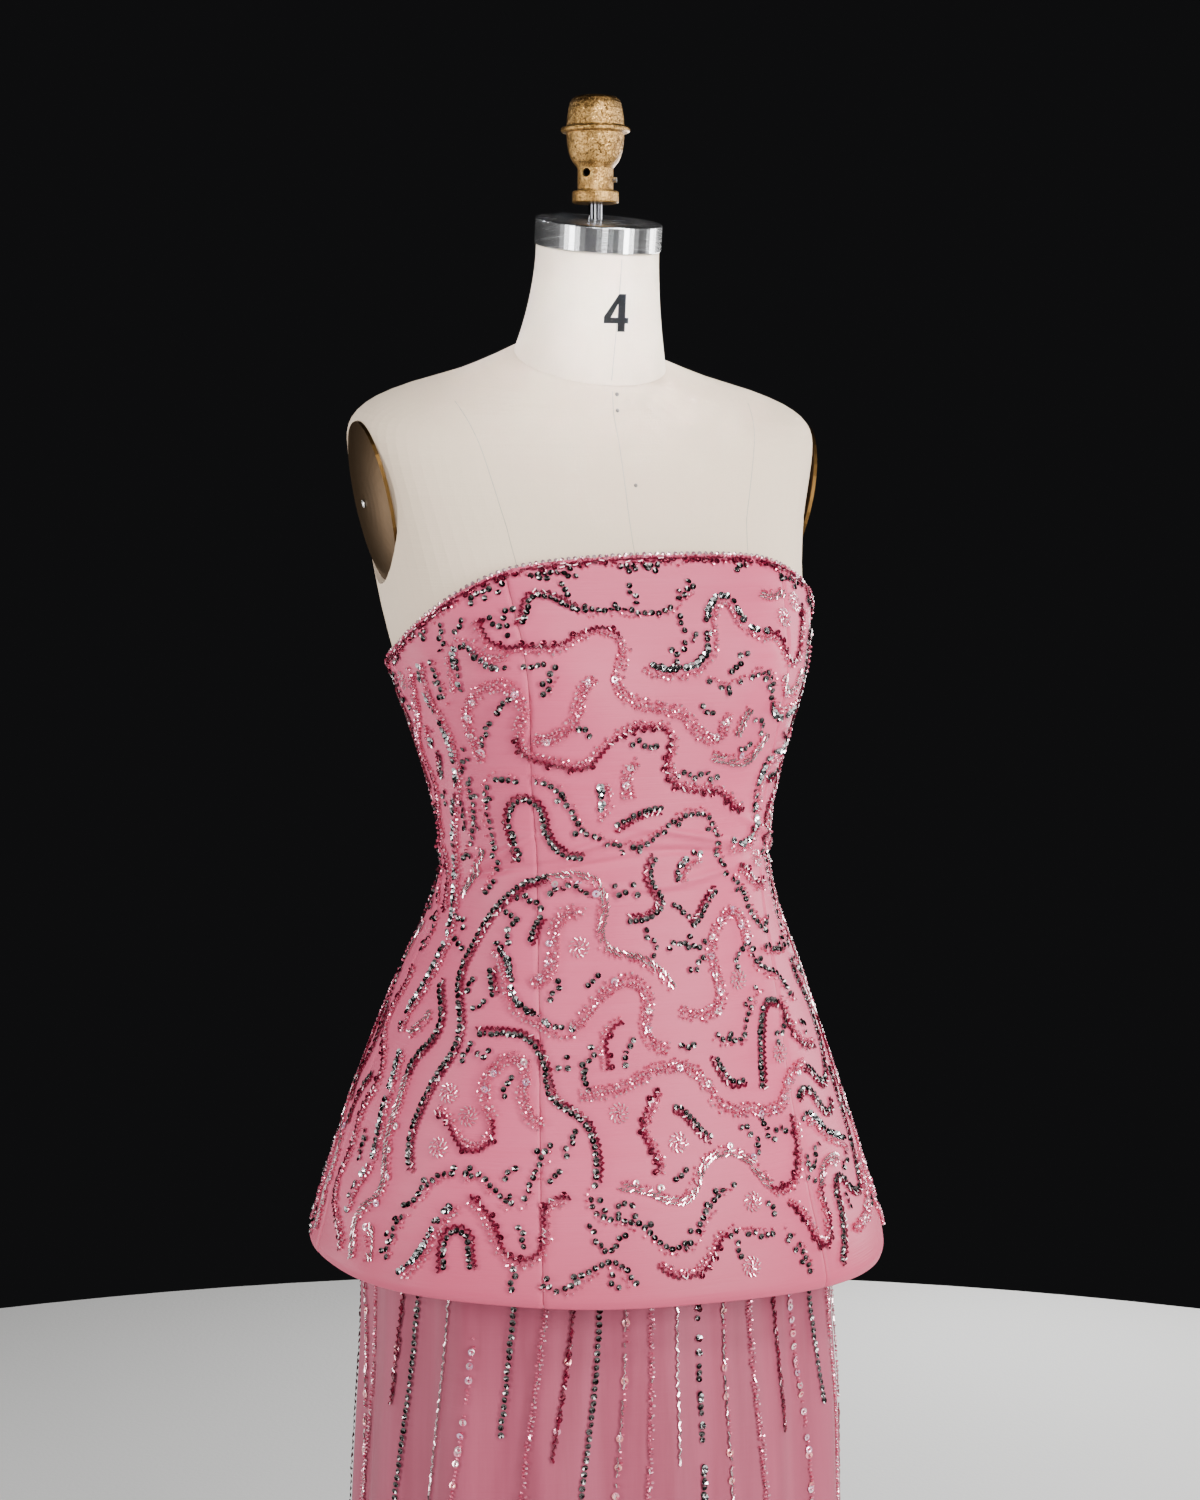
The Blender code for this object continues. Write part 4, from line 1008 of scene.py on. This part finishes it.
BEAD_SHAPES = {              # sides, and radius and height pairs from the top to the underside
    "cup": (8, ((0.0, 0.06), (0.30, 0.02), (1.0, 0.42), (0.0, -0.08))),
    "seed": (6, ((0.0, 0.60), (0.93, 0.42), (0.93, -0.42), (0.0, -0.60))),
    "bugle": (6, ((0.0, 2.05), (0.92, 2.2), (0.92, -2.2), (0.0, -2.05))),
    "paillette": (10, ((0.30, 0.0), (0.62, 0.055), (1.0, 0.0), (0.62, -0.055))),
    "rod": (6, ((0.0, 3.0), (0.86, 2.7), (1.0, 0.0), (0.86, -2.7), (0.0, -3.0))),
    "stitch": (4, ((0.0, 4.8), (1.0, 3.6), (1.0, -3.6), (0.0, -4.8))),
}
BEADS = {                    # shape, radius, how high its middle stands off the cloth, lean ahead
    "gunmetal": ("cup", 0.00225, 0.0005, 0.0),
    "silver": ("cup", 0.00265, 0.0008, 0.26),
    "ruby_cup": ("cup", 0.00220, 0.0006, 0.0),
    "ruby_bugle": ("bugle", 0.00082, 0.0012, 0.0),
    "pink_seed": ("seed", 0.00122, 0.0014, 0.0),
    "clear_seed": ("seed", 0.00126, 0.0015, 0.0),
    "edge_seed": ("seed", 0.00170, 0.0000, 0.0),
    "lined_bugle": ("bugle", 0.00074, 0.0013, 0.0),
    "clear_bugle": ("bugle", 0.00060, 0.0011, 0.0),
    "coral_paillette": ("paillette", 0.00270, 0.0013, 0.0),
    "pearl_paillette": ("paillette", 0.00255, 0.0016, 0.0),
    "zip_coil": ("rod", 0.00040, -0.0003, 0.0),
    "zip_stitches": ("stitch", 0.00026, 0.0001, 0.0),
}
SIZES_VARY = 0.035
TURNS_VARY = 0.08
chance = np.random.default_rng(11)
sewn_beads = {}


def turned_bead(sides, profile):
    """Points and triangles of a bead turned about Z. A radius of 0 closes it at a point."""
    points, rings = [], []
    for radius, height in profile:
        count = sides if radius else 1
        rings.append(list(range(len(points), len(points) + count)) * (sides // count))
        turn = TAU * np.arange(count) / sides
        points += zip(radius * np.cos(turn), radius * np.sin(turn), [height] * count)
    if profile[0][0]:
        rings.append(rings[0])
    faces = []
    for a, b in zip(rings, rings[1:]):
        for k in range(sides):
            n = (k + 1) % sides
            faces += [f for f in ((a[k], b[k], b[n]), (a[k], b[n], a[n])) if len(set(f)) == 3]
    return np.array(points), np.array(faces)


bead_shapes = {name: turned_bead(*shape) for name, shape in BEAD_SHAPES.items()}
for name in ("seed", "bugle", "rod", "stitch"):     # these lie along their thread
    points, faces = bead_shapes[name]
    bead_shapes[name] = (points[:, [2, 0, 1]], faces)


def sew(garment, bead, point, ahead, out, turn=0.0, tilt=0.0, uneven=1.0):
    """Sews one bead at each point: turned from the line by an angle, and tipped by chance."""
    shape, radius, lift, lean = BEADS[bead]
    corners, faces = bead_shapes[shape]
    size = radius * chance.normal(1.0, SIZES_VARY * uneven, len(point))
    up = unit(out - ahead * lean + chance.normal(0.0, tilt, point.shape))
    x = unit(ahead - up * np.sum(ahead * up, axis=1)[:, None])
    y = np.cross(up, x)
    turn = np.broadcast_to(turn, len(point))[:, None]
    turn = turn + chance.normal(0.0, TURNS_VARY * uneven, (len(point), 1))
    x, y = x * np.cos(turn) + y * np.sin(turn), y * np.cos(turn) - x * np.sin(turn)
    axes = np.stack([x, y, up], axis=1) * size[:, None, None]
    made = (point + out * lift)[:, None, :] + np.einsum("kc,ncd->nkd", corners, axes)
    sewn_beads.setdefault((garment, bead), []).append(made)


def laid(surface, angle, height, pitch, start=0.0):
    """Places a pitch apart along a line on the cloth: point, way ahead and way out."""
    point = surface(angle, height)
    run = np.concatenate([[0.0], np.cumsum(np.linalg.norm(np.diff(point, axis=0), axis=1))])
    at = np.arange(start, run[-1], pitch)
    if len(at) < 2:
        return None
    point, _, out = frame_at(surface, np.interp(at, run, angle), np.interp(at, run, height))
    return point, unit(np.gradient(point, axis=0)), out


def sew_line(garment, surface, angle, height, rows, way=1):
    """Sews a line of beads by its recipe, whose rows lie side by side. way mirrors them."""
    for bead, pitch, aside, stray, zigzag, slant, tilt, kept in rows:
        places = laid(surface, angle, height, pitch, pitch * chance.uniform(0.2, 0.8))
        if places is None:
            continue
        keep = chance.random(len(places[0])) < kept
        point, ahead, out = (value[keep] for value in places)
        if not len(point):
            continue
        off = way * aside + chance.normal(0.0, stray, len(point))
        point = point + np.cross(out, ahead) * off[:, None]
        turn = math.radians(zigzag) * np.where(np.arange(len(point)) % 2, 1, -1)
        turn = turn + way * math.radians(slant)
        sew(garment, bead, point, ahead, out, turn, tilt)


# ---------------------------------------------------------------- the skirt's bead lines
# Plain vertical lines, one to a ripple, that begin under the peplum and fan out a little as they
# go down. Some stop a hand below the peplum and the others run on to the lower skirt.

SKIRT_RECIPES = {            # bead, pitch, aside, stray, zigzag and slant in degrees, tilt, share
    "gunmetal": (("gunmetal", 0.0049, 0.0, 0.00018, 0, 0, 0.16, 1.0),),
    "bright": (("gunmetal", 0.0047, 0.0, 0.0002, 0, 0, 0.20, 0.62),
               ("silver", 0.0101, 0.0004, 0.0002, 0, 0, 0.18, 0.55)),
    "ruby": (("ruby_bugle", 0.0025, 0.0, 0.0004, 38, 0, 0.1, 1.0),
             ("ruby_bugle", 0.0046, 0.0010, 0.0004, 20, 0, 0.1, 0.8),
             ("ruby_cup", 0.0150, 0.0, 0.0003, 0, 0, 0.2, 0.7),
             ("coral_paillette", 0.0480, 0.0, 0.0003, 0, 0, 0.12, 0.6)),
    "chain": (("lined_bugle", 0.0034, 0.0, 0.0002, 24, 0, 0.1, 1.0),),
    "glints": (("pink_seed", 0.0027, -0.0010, 0.0004, 0, 0, 0.2, 0.9),
               ("clear_seed", 0.0033, 0.0011, 0.0004, 0, 0, 0.2, 0.8),
               ("lined_bugle", 0.0125, 0.0, 0.0003, 15, 0, 0.2, 0.8)),
    "coral": (("lined_bugle", 0.0036, 0.0, 0.0003, 18, 0, 0.1, 0.85),
              ("pink_seed", 0.0040, 0.0012, 0.0004, 0, 0, 0.2, 0.7),
              ("coral_paillette", 0.0200, 0.0, 0.0003, 0, 0, 0.12, 0.75)),
    "paillettes": (("pink_seed", 0.0030, 0.0006, 0.0005, 0, 0, 0.2, 0.8),
                   ("pearl_paillette", 0.0098, -0.0004, 0.0004, 0, 0, 0.14, 0.6),
                   ("coral_paillette", 0.0230, 0.0, 0.0003, 0, 0, 0.14, 0.6)),
}
SKIRT_LINES = (              # recipe, angle in degrees under the peplum, top and foot
    ("glints", -84.6, 0.81, 0.27), ("ruby", -70.5, 0.81, 0.689), ("gunmetal", -64.8, 0.81, 0.33),
    ("chain", -52.5, 0.81, 0.41), ("paillettes", -44.3, 0.752, 0.24),
    ("gunmetal", -34.5, 0.81, 0.681), ("glints", -26.5, 0.81, 0.36), ("ruby", -20.3, 0.81, 0.667),
    ("gunmetal", -14.0, 0.81, 0.3), ("coral", -8.0, 0.81, 0.22), ("glints", -2.6, 0.81, 0.39),
    ("chain", 1.8, 0.81, 0.658), ("bright", 6.2, 0.81, 0.26), ("coral", 12.5, 0.81, 0.35),
    ("glints", 19.0, 0.81, 0.29), ("ruby", 26.0, 0.81, 0.662), ("paillettes", 34.5, 0.81, 0.38),
    ("gunmetal", 43.0, 0.81, 0.672), ("glints", 52.0, 0.81, 0.31), ("chain", 61.5, 0.81, 0.43),
    ("coral", 71.0, 0.81, 0.25), ("gunmetal", 80.0, 0.81, 0.36), ("ruby", 88.5, 0.81, 0.69),
    ("glints", 97.0, 0.81, 0.28), ("bright", 105.5, 0.81, 0.4), ("paillettes", 114.0, 0.81, 0.33),
    ("chain", 122.0, 0.81, 0.66), ("gunmetal", 130.0, 0.81, 0.24), ("coral", 138.0, 0.81, 0.37),
    ("ruby", 146.0, 0.81, 0.65), ("glints", 154.0, 0.81, 0.3), ("gunmetal", 162.5, 0.81, 0.42),
    ("chain", 171.0, 0.81, 0.26), ("glints", -171.5, 0.81, 0.35),
    ("gunmetal", -163.5, 0.81, 0.655), ("coral", -155.5, 0.81, 0.23),
    ("glints", -147.5, 0.81, 0.39), ("ruby", -139.5, 0.81, 0.676), ("bright", -131.5, 0.81, 0.29),
    ("paillettes", -123.0, 0.81, 0.36), ("chain", -115.0, 0.81, 0.648),
    ("gunmetal", -106.5, 0.81, 0.25), ("coral", -95.5, 0.81, 0.41),
)
SKIRT_FAN_FROM = math.radians(6)     # the lines lean away from this angle in front and behind
SKIRT_FAN = 1.9                      # radians per metre and radian
SKIRT_FAN_MOST = math.radians(48)    # and at most this much per metre
FAN_TOP = 0.78
FAN_FULL = 0.16              # the fan is full down to here, and eases off below it
FAN_EASE = 0.35
FAN_BEHIND = 0.45            # the lines behind lean this much less
LINE_WOBBLE = 0.004          # how far the lines sway from side to side, in radians
WOBBLE_WAVES = 31            # its waves, in radians per metre
WOBBLE_SHIFT = 9             # how far they shift from line to line

for recipe, start, top, foot in SKIRT_LINES:
    height = np.linspace(top, foot, 60)
    start = math.radians(start)
    centre = SKIRT_FAN_FROM if abs(start) < math.pi / 2 else math.copysign(math.pi, start)
    lean = np.clip((start - centre) * SKIRT_FAN, -SKIRT_FAN_MOST, SKIRT_FAN_MOST)
    fall = FAN_TOP - height
    eased_off = FAN_FULL + FAN_FULL * np.tanh((fall - FAN_FULL) / FAN_EASE)
    fall = np.where(fall < FAN_FULL, fall, eased_off)
    wobble = LINE_WOBBLE * np.sin(height * WOBBLE_WAVES + start * WOBBLE_SHIFT)
    angle = start + lean * fall * (FAN_BEHIND if abs(start) > math.pi / 2 else 1.0) + wobble
    sew_line("skirt", skirt_cloth, angle, height, SKIRT_RECIPES[recipe])

# ---------------------------------------------------------------- the top's beaded edge and lines
# A row of clear seeds stands on the strapless edge over a row of dark red bugles and sequins. Below
# it the cloth is filled with wandering lines, of which each keeps clear of its neighbours, and with
# small rosettes and sprays between them. The layout is a plain filling drawn by rule and chance.

TOP_RECIPES = {              # bead, pitch, aside, stray, zigzag and slant in degrees, tilt, share
    "gunmetal_ruby": (("gunmetal", 0.0041, 0.0, 0.0002, 0, 0, 0.22, 1.0),
                      ("ruby_bugle", 0.0019, 0.0036, 0.0002, 46, 0, 0.1, 1.0)),
    "silver_pink": (("silver", 0.0041, 0.0, 0.0003, 0, 0, 0.26, 0.72),
                    ("gunmetal", 0.0047, 0.0011, 0.0004, 0, 0, 0.24, 0.55),
                    ("pink_seed", 0.0025, -0.0042, 0.0005, 40, 0, 0.4, 1.0),
                    ("clear_seed", 0.0030, -0.0062, 0.0007, 40, 0, 0.4, 0.85)),
    "gunmetal_loose": (("gunmetal", 0.0049, 0.0, 0.0007, 0, 0, 0.24, 0.92),
                       ("gunmetal", 0.0110, 0.0042, 0.0007, 0, 0, 0.24, 0.40),
                       ("pink_seed", 0.0034, -0.0034, 0.0009, 40, 0, 0.4, 0.7)),
    "ruby_pink": (("ruby_bugle", 0.0020, 0.0, 0.0002, 48, 0, 0.1, 1.0),
                  ("ruby_cup", 0.0075, 0.0018, 0.0004, 0, 0, 0.2, 0.6),
                  ("pink_seed", 0.0025, -0.0034, 0.0005, 40, 0, 0.4, 1.0),
                  ("clear_seed", 0.0042, -0.0052, 0.0005, 40, 0, 0.4, 0.7)),
    "pink_band": (("pink_seed", 0.0026, -0.0036, 0.0006, 40, 0, 0.4, 0.95),
                  ("clear_seed", 0.0027, -0.0012, 0.0006, 40, 0, 0.4, 0.95),
                  ("pink_seed", 0.0027, 0.0012, 0.0006, 40, 0, 0.4, 0.95),
                  ("clear_seed", 0.0033, 0.0036, 0.0006, 40, 0, 0.4, 0.8),
                  ("pearl_paillette", 0.0130, 0.0006, 0.0014, 0, 0, 0.15, 0.6)),
    "lined_band": (("lined_bugle", 0.0027, -0.0014, 0.0003, 8, 34, 0.1, 1.0),
                   ("lined_bugle", 0.0029, 0.0016, 0.0004, 14, 30, 0.1, 0.85),
                   ("pink_seed", 0.0034, 0.0040, 0.0006, 40, 0, 0.4, 0.85),
                   ("pearl_paillette", 0.0180, 0.0050, 0.0008, 0, 0, 0.15, 0.5)),
}
TOP_SHARES = (0.21, 0.20, 0.20, 0.13, 0.14, 0.12)   # of the lines, in the same order
CHANGES_FROM = 0.12          # a line this long may change its beads on the way
EDGE_ROWS = (
    ("pink_seed", 0.0036, 0.0008, 0.0003, 30, 0, 0.4, 0.75),
    ("ruby_bugle", 0.0040, 0.0022, 0.0002, 6, 0, 0.1, 0.95),
    ("ruby_cup", 0.0046, 0.0042, 0.0005, 0, 0, 0.25, 0.62),
    ("ruby_bugle", 0.0048, 0.0042, 0.0005, 14, 0, 0.1, 0.7),
    ("pink_seed", 0.0044, 0.0062, 0.0006, 30, 0, 0.4, 0.5),
)
EDGE_CLUMP = (
    ("gunmetal", 0.0046, 0.0078, 0.0006, 0, 0, 0.22, 0.95),
    ("gunmetal", 0.0050, 0.0116, 0.0009, 0, 0, 0.22, 0.55),
)
EDGE_CLUMPS = 17
EDGE_SEED_PITCH = 0.0046
EDGE_SEED_IN = 0.0009
EDGE_SEED_UP = 0.0014
LINE_STEP = 0.004
LINE_ROOM = 0.0112           # between the middles of neighbouring lines
OWN_ROOM = 0.0142            # between two bends of one line
OWN_NEAR = 1.7               # the last stretch of a line, in rooms, which it may lie near
START_ROOM = 1.1             # a line starts this much farther off, in rooms
LINE_LENGTHS = ((0.18, 0.36), (0.11, 0.22), (0.055, 0.13), (0.022, 0.05))   # shortest, longest
HEM_CLEAR = 0.0115
EDGE_CLEAR = 0.018
BACK_LIMIT = math.radians(175)
MEAN_RADIUS = 0.88           # of an oval ring, about, as a share of its half width
START_ANGLES = (-171, 175, 6.0)      # from, to and how far apart
START_HEIGHTS = (0.80, 1.27, 0.0145)
START_STRAYS = (0.05, 0.006)
SWINGS = (0.10, 0.45)
WAVE_LENGTHS = (0.060, 0.140)
FLOW_WAVES = (               # strength, wave lengths across and up, phase
    (1.00, 0.092, 0.21, 0.7), (0.60, 0.053, -0.13, 2.1), (0.35, 0.21, 0.061, 0.0),
)
UPRIGHT_SPAN = (54, 126, 30)         # degrees: where the lines run up, and how softly
UPRIGHT_CALM = 0.55          # how much less they wave there

edge_angle = np.linspace(-BACK_LIMIT, BACK_LIMIT, 700)
point, ahead, out = laid(top_cloth, edge_angle, edge_height(edge_angle), EDGE_SEED_PITCH)
point = point - out * EDGE_SEED_IN + (0, 0, EDGE_SEED_UP)
sew("top", "edge_seed", point, out, ahead, 0.0, 0.25)
sew_line("top", top_cloth, edge_angle, edge_height(edge_angle), EDGE_ROWS, way=-1)
nears = np.linspace(-BACK_LIMIT, BACK_LIMIT - 0.25, EDGE_CLUMPS)
for near in nears + chance.uniform(0, 0.12, EDGE_CLUMPS):
    clump = np.linspace(near, near + chance.uniform(0.08, 0.24), 40)
    sew_line("top", top_cloth, clump, edge_height(clump), EDGE_CLUMP, way=-1)

reach_heights = np.linspace(0.765, 1.285, 40)
reach = MEAN_RADIUS * eased(TOP_RINGS, reach_heights)[:, 0]
taken = np.zeros((0, 2))


def room_at(here, others=None):
    """The distance from an unrolled place to the nearest of others, or of the lines so far."""
    others = taken if others is None else np.array(others)
    return np.min(np.hypot(*(others - here).T)) if len(others) else math.inf


def unrolled(angle, height):
    """A place on the top as distances across and up, near enough to keep lines apart."""
    return np.array([angle * np.interp(height, reach_heights, reach), height])


def flow(angle, height):
    """The way that the lines run at a place: across in front and behind, and up at the sides."""
    across, up = unrolled(angle, height)
    upright = window(np.degrees(abs(angle)), *UPRIGHT_SPAN)
    wave = sum(
        strength * math.sin(TAU * (across / wide + up / tall) + phase)
        for strength, wide, tall, phase in FLOW_WAVES
    )
    return upright * math.pi / 2 + wave * (1 - UPRIGHT_CALM * upright)


def wander(angle, height, swing, wave, phase, most, sign):
    """One way of a wandering line: it sways about the flow until it meets another."""
    track = []
    for k in range(int(most / LINE_STEP)):
        run = TAU * sign * k * LINE_STEP / wave
        way = flow(angle, height) + swing * math.sin(run + phase)
        angle += sign * LINE_STEP * math.cos(way) / np.interp(height, reach_heights, reach)
        height += sign * LINE_STEP * math.sin(way)
        here = unrolled(angle, height)
        low, high = hem_height(angle) + HEM_CLEAR, edge_height(np.array([angle]))[0] - EDGE_CLEAR
        if not (low < height < high and abs(angle) < BACK_LIMIT - 0.04):
            break
        if room_at(here) < LINE_ROOM:
            break
        old = [unrolled(*t) for t in track[: -round(OWN_ROOM * OWN_NEAR / LINE_STEP)]]
        if room_at(here, old) < OWN_ROOM:
            break
        track.append((angle, height))
    return track


starts = [
    (math.radians(a), z) for z in np.arange(*START_HEIGHTS) for a in np.arange(*START_ANGLES)
]


def strayed(start):
    """A start place moved a little by chance."""
    return [value + chance.normal(0, stray) for value, stray in zip(start, START_STRAYS)]


for shortest, longest in LINE_LENGTHS:
    for at in chance.permutation(len(starts)):
        angle, height = strayed(starts[at])
        swing = chance.uniform(*SWINGS)
        wave = chance.uniform(*WAVE_LENGTHS)
        phase = chance.uniform(0, TAU)
        here = unrolled(angle, height)
        if room_at(here) < LINE_ROOM * START_ROOM:
            continue
        ways = [wander(angle, height, swing, wave, phase, longest / 2, s) for s in (-1, 1)]
        track = np.array(ways[0][::-1] + ways[1])
        if len(track) * LINE_STEP < shortest:
            continue
        side = chance.choice((-1, 1))
        cut = round(len(track) * chance.uniform(0.35, 0.65))
        if len(track) * LINE_STEP < CHANGES_FROM:
            cut = 0
        for part in (track[: cut + 1], track[cut:]):
            if len(part) > 2:
                recipe = chance.choice(list(TOP_RECIPES), p=TOP_SHARES)
                sew_line("top", top_cloth, part[:, 0], part[:, 1], TOP_RECIPES[recipe], side)
        taken = np.concatenate([taken, [unrolled(*t) for t in track]])


# Between the lines: rosettes of clear bugles round a seed, and sprays of three to five cups.
ROSETTE_ROOM = 0.0142
SPRAY_ROOM = 0.0100
ROSETTE_RINGS = (            # bugles, how far out they lie, turned by how much
    (6, 0.0027, math.radians(20)), (12, 0.0060, math.radians(38)),
)
SPRAY_STEP = 0.0044
SPRAY_STRAY = 0.0018
for at in chance.permutation(len(starts)):
    angle, height = (np.array([value]) for value in strayed(starts[at]))
    free = room_at(unrolled(angle[0], height[0]))
    inside = hem_height(angle)[0] + HEM_CLEAR < height[0] < edge_height(angle)[0] - EDGE_CLEAR
    if free < SPRAY_ROOM or not inside or abs(angle[0]) > BACK_LIMIT - 0.06:
        continue
    point, along, out = frame_at(top_cloth, angle, height)
    up = np.cross(out, along)
    if free > ROSETTE_ROOM:
        for bugles, reached, turn in ROSETTE_RINGS:
            turns = TAU * np.arange(bugles)[:, None] / bugles + chance.uniform(0, 1)
            way = along * np.cos(turns) + up * np.sin(turns)
            outs = np.repeat(out, bugles, axis=0)
            sew("top", "clear_bugle", point + way * reached, way, outs, turn, 0.08)
        sew("top", "pink_seed", point, along, out, 0.0, 0.1)
    else:
        count = chance.integers(3, 6)
        slant = chance.uniform(0, math.pi)
        way = along * math.cos(slant) + up * math.sin(slant)
        side = np.cross(out, way)
        bend = (np.arange(count) - (count - 1) / 2)[:, None]
        spots = point + way * bend * SPRAY_STEP + side * chance.normal(0, SPRAY_STRAY, (count, 1))
        outs = np.repeat(out, count, axis=0)
        sew("top", "gunmetal", spots, np.repeat(way, count, axis=0), outs, 0.0, 0.24)
    taken = np.concatenate([taken, [unrolled(angle[0], height[0])]])


# ---------------------------------------------------------------- the zips
# A coil zip closes the top down centre back, from the edge to the hips, and a short one closes the
# skirt under it. Each is a woven tape with a nylon coil dyed to match, let in between two rows of
# stitches. The slider and its pull are die-cast and keep the CAD's form, with their edges rounded.

ZIP_LINES = (                # cloth, its rings, garment, foot and head
    (top_cloth, TOP_RINGS, "top", TOP_ZIP_SPAN),
    (skirt_cloth, SKIRT_RINGS, "skirt", SKIRT_ZIP_SPAN),
)
COIL_PITCH = 0.0011
COIL_APART = 0.0005          # the coil's loops lean this far to their own side of the middle
STITCHES_OUT = 0.0052        # from the middle of the zip to its rows of stitches
STITCH_PITCH = 0.0031


for surface, rings, garment, (foot, head) in ZIP_LINES:
    at = np.arange(foot + COIL_PITCH, head - COIL_PITCH / 2, COIL_PITCH)
    point, along, out = frame_at(surface, np.full(len(at), math.pi), at)
    hand = np.where(np.arange(len(at)) % 2, 1, -1)[:, None]
    sew(garment, "zip_coil", point + along * hand * COIL_APART, along, out, 0.0, 0.0, 0.0)
    heights = np.linspace(foot, head, round((head - foot) / TAPE_STEP) + 1)
    half_width, _, _, squareness = eased(rings, heights).T
    beside = math.pi - (STITCHES_OUT / half_width) ** (squareness / 2)
    for angle in (beside, -beside):
        point, ahead, out = laid(surface, angle, heights, STITCH_PITCH)
        sew(garment, "zip_stitches", point, ahead, out, 0.0, 0.0, 0.4)


# ---------------------------------------------------------------- the looks of the beads
# Metallised cups and lined bugles mirror the lamps, glass seeds and bugles glow under a clear coat,
# and the paillettes are pearled in two tints that drift from one bead to the next.


def metal_look(pale, deep, rough):
    return two_toned(pale, deep, 420.0, rough, 0.12, 260.0)


def glass_look(pale, deep):
    return two_toned(pale, deep, 330.0, 0.08, 0.14, 500.0, edges=(0.35, 0.65))


def pearl_look(first, second, third):
    def look(place):
        drift = between(0.38, 0.62, grain(place, 150.0))
        sheen = between(0.42, 0.66, grain(place, 95.0))
        return (
            blended(sheen, blended(drift, first, second), third),
            0.10 + 0.14 * grain(place, 400.0),
        )
    return look


BEAD_FINISHES = {
    "gunmetal": (metal_look((0.205, 0.185, 0.183), (0.045, 0.038, 0.037), 0.10),
                 dict(Metallic=1.0)),
    "silver": (metal_look((0.78, 0.79, 0.80), (0.46, 0.47, 0.48), 0.08), dict(Metallic=1.0)),
    "ruby_cup": (metal_look((0.20, 0.010, 0.034), (0.08, 0.004, 0.015), 0.12), dict(Metallic=0.75)),
    "ruby_bugle": (glass_look((0.22, 0.010, 0.036), (0.09, 0.004, 0.017)),
                   dict(Coat_Weight=0.8, Metallic=0.35)),
    "pink_seed": (glass_look((0.48, 0.050, 0.115), (0.80, 0.20, 0.31)),
                  dict(Coat_Weight=1.0, Metallic=0.40)),
    "clear_seed": (glass_look((0.88, 0.44, 0.53), (0.52, 0.12, 0.20)),
                   dict(Coat_Weight=1.0, Metallic=0.55)),
    "edge_seed": (glass_look((0.84, 0.58, 0.62), (0.42, 0.15, 0.21)),
                  dict(Coat_Weight=1.0, Metallic=0.6)),
    "lined_bugle": (metal_look((0.90, 0.74, 0.74), (0.50, 0.29, 0.33), 0.10), dict(Metallic=0.9)),
    "clear_bugle": (glass_look((0.90, 0.62, 0.66), (0.62, 0.26, 0.34)),
                    dict(Coat_Weight=1.0, Metallic=0.5)),
    "coral_paillette": (pearl_look((0.80, 0.24, 0.24), (0.86, 0.36, 0.32), (0.85, 0.30, 0.42)),
                        dict(Coat_Weight=1.0, Metallic=0.3)),
    "pearl_paillette": (pearl_look((0.84, 0.42, 0.54), (0.70, 0.44, 0.66), (0.90, 0.62, 0.62)),
                        dict(Coat_Weight=1.0, Metallic=0.55)),
    "zip_coil": (glass_look((0.54, 0.095, 0.160), (0.45, 0.070, 0.125)), dict(Coat_Weight=0.2)),
    "zip_stitches": (glass_look((0.62, 0.13, 0.21), (0.48, 0.08, 0.14)), dict(Sheen_Weight=0.2)),
}
for bead, (look, fixed_values) in BEAD_FINISHES.items():
    coat = finish_of(bead, look, **fixed_values)
    faces = bead_shapes[BEADS[bead][0]][1]
    for garment in ("skirt", "top"):
        if (garment, bead) not in sewn_beads:
            continue
        made = np.concatenate(sewn_beads[garment, bead])
        count, corners = made.shape[:2]
        every = (faces[None] + (np.arange(count) * corners)[:, None, None]).reshape(-1, 3)
        name = f"{garment}_{bead}" if bead.startswith("zip") else f"{garment}_beads_{bead}"
        add_piece(name, mesh_of(name, made.reshape(-1, 3), every), coat, smooth=False,
                  slot=garment + "_cloth")

# ---------------------------------------------------------------- closing

zip_metal = finish_of("zip_metal", screw_look, Metallic=1.0)
for name in ("top_zip_slider", "top_zip_pull"):
    dress_node(name, zip_metal, bevel=0.0003)
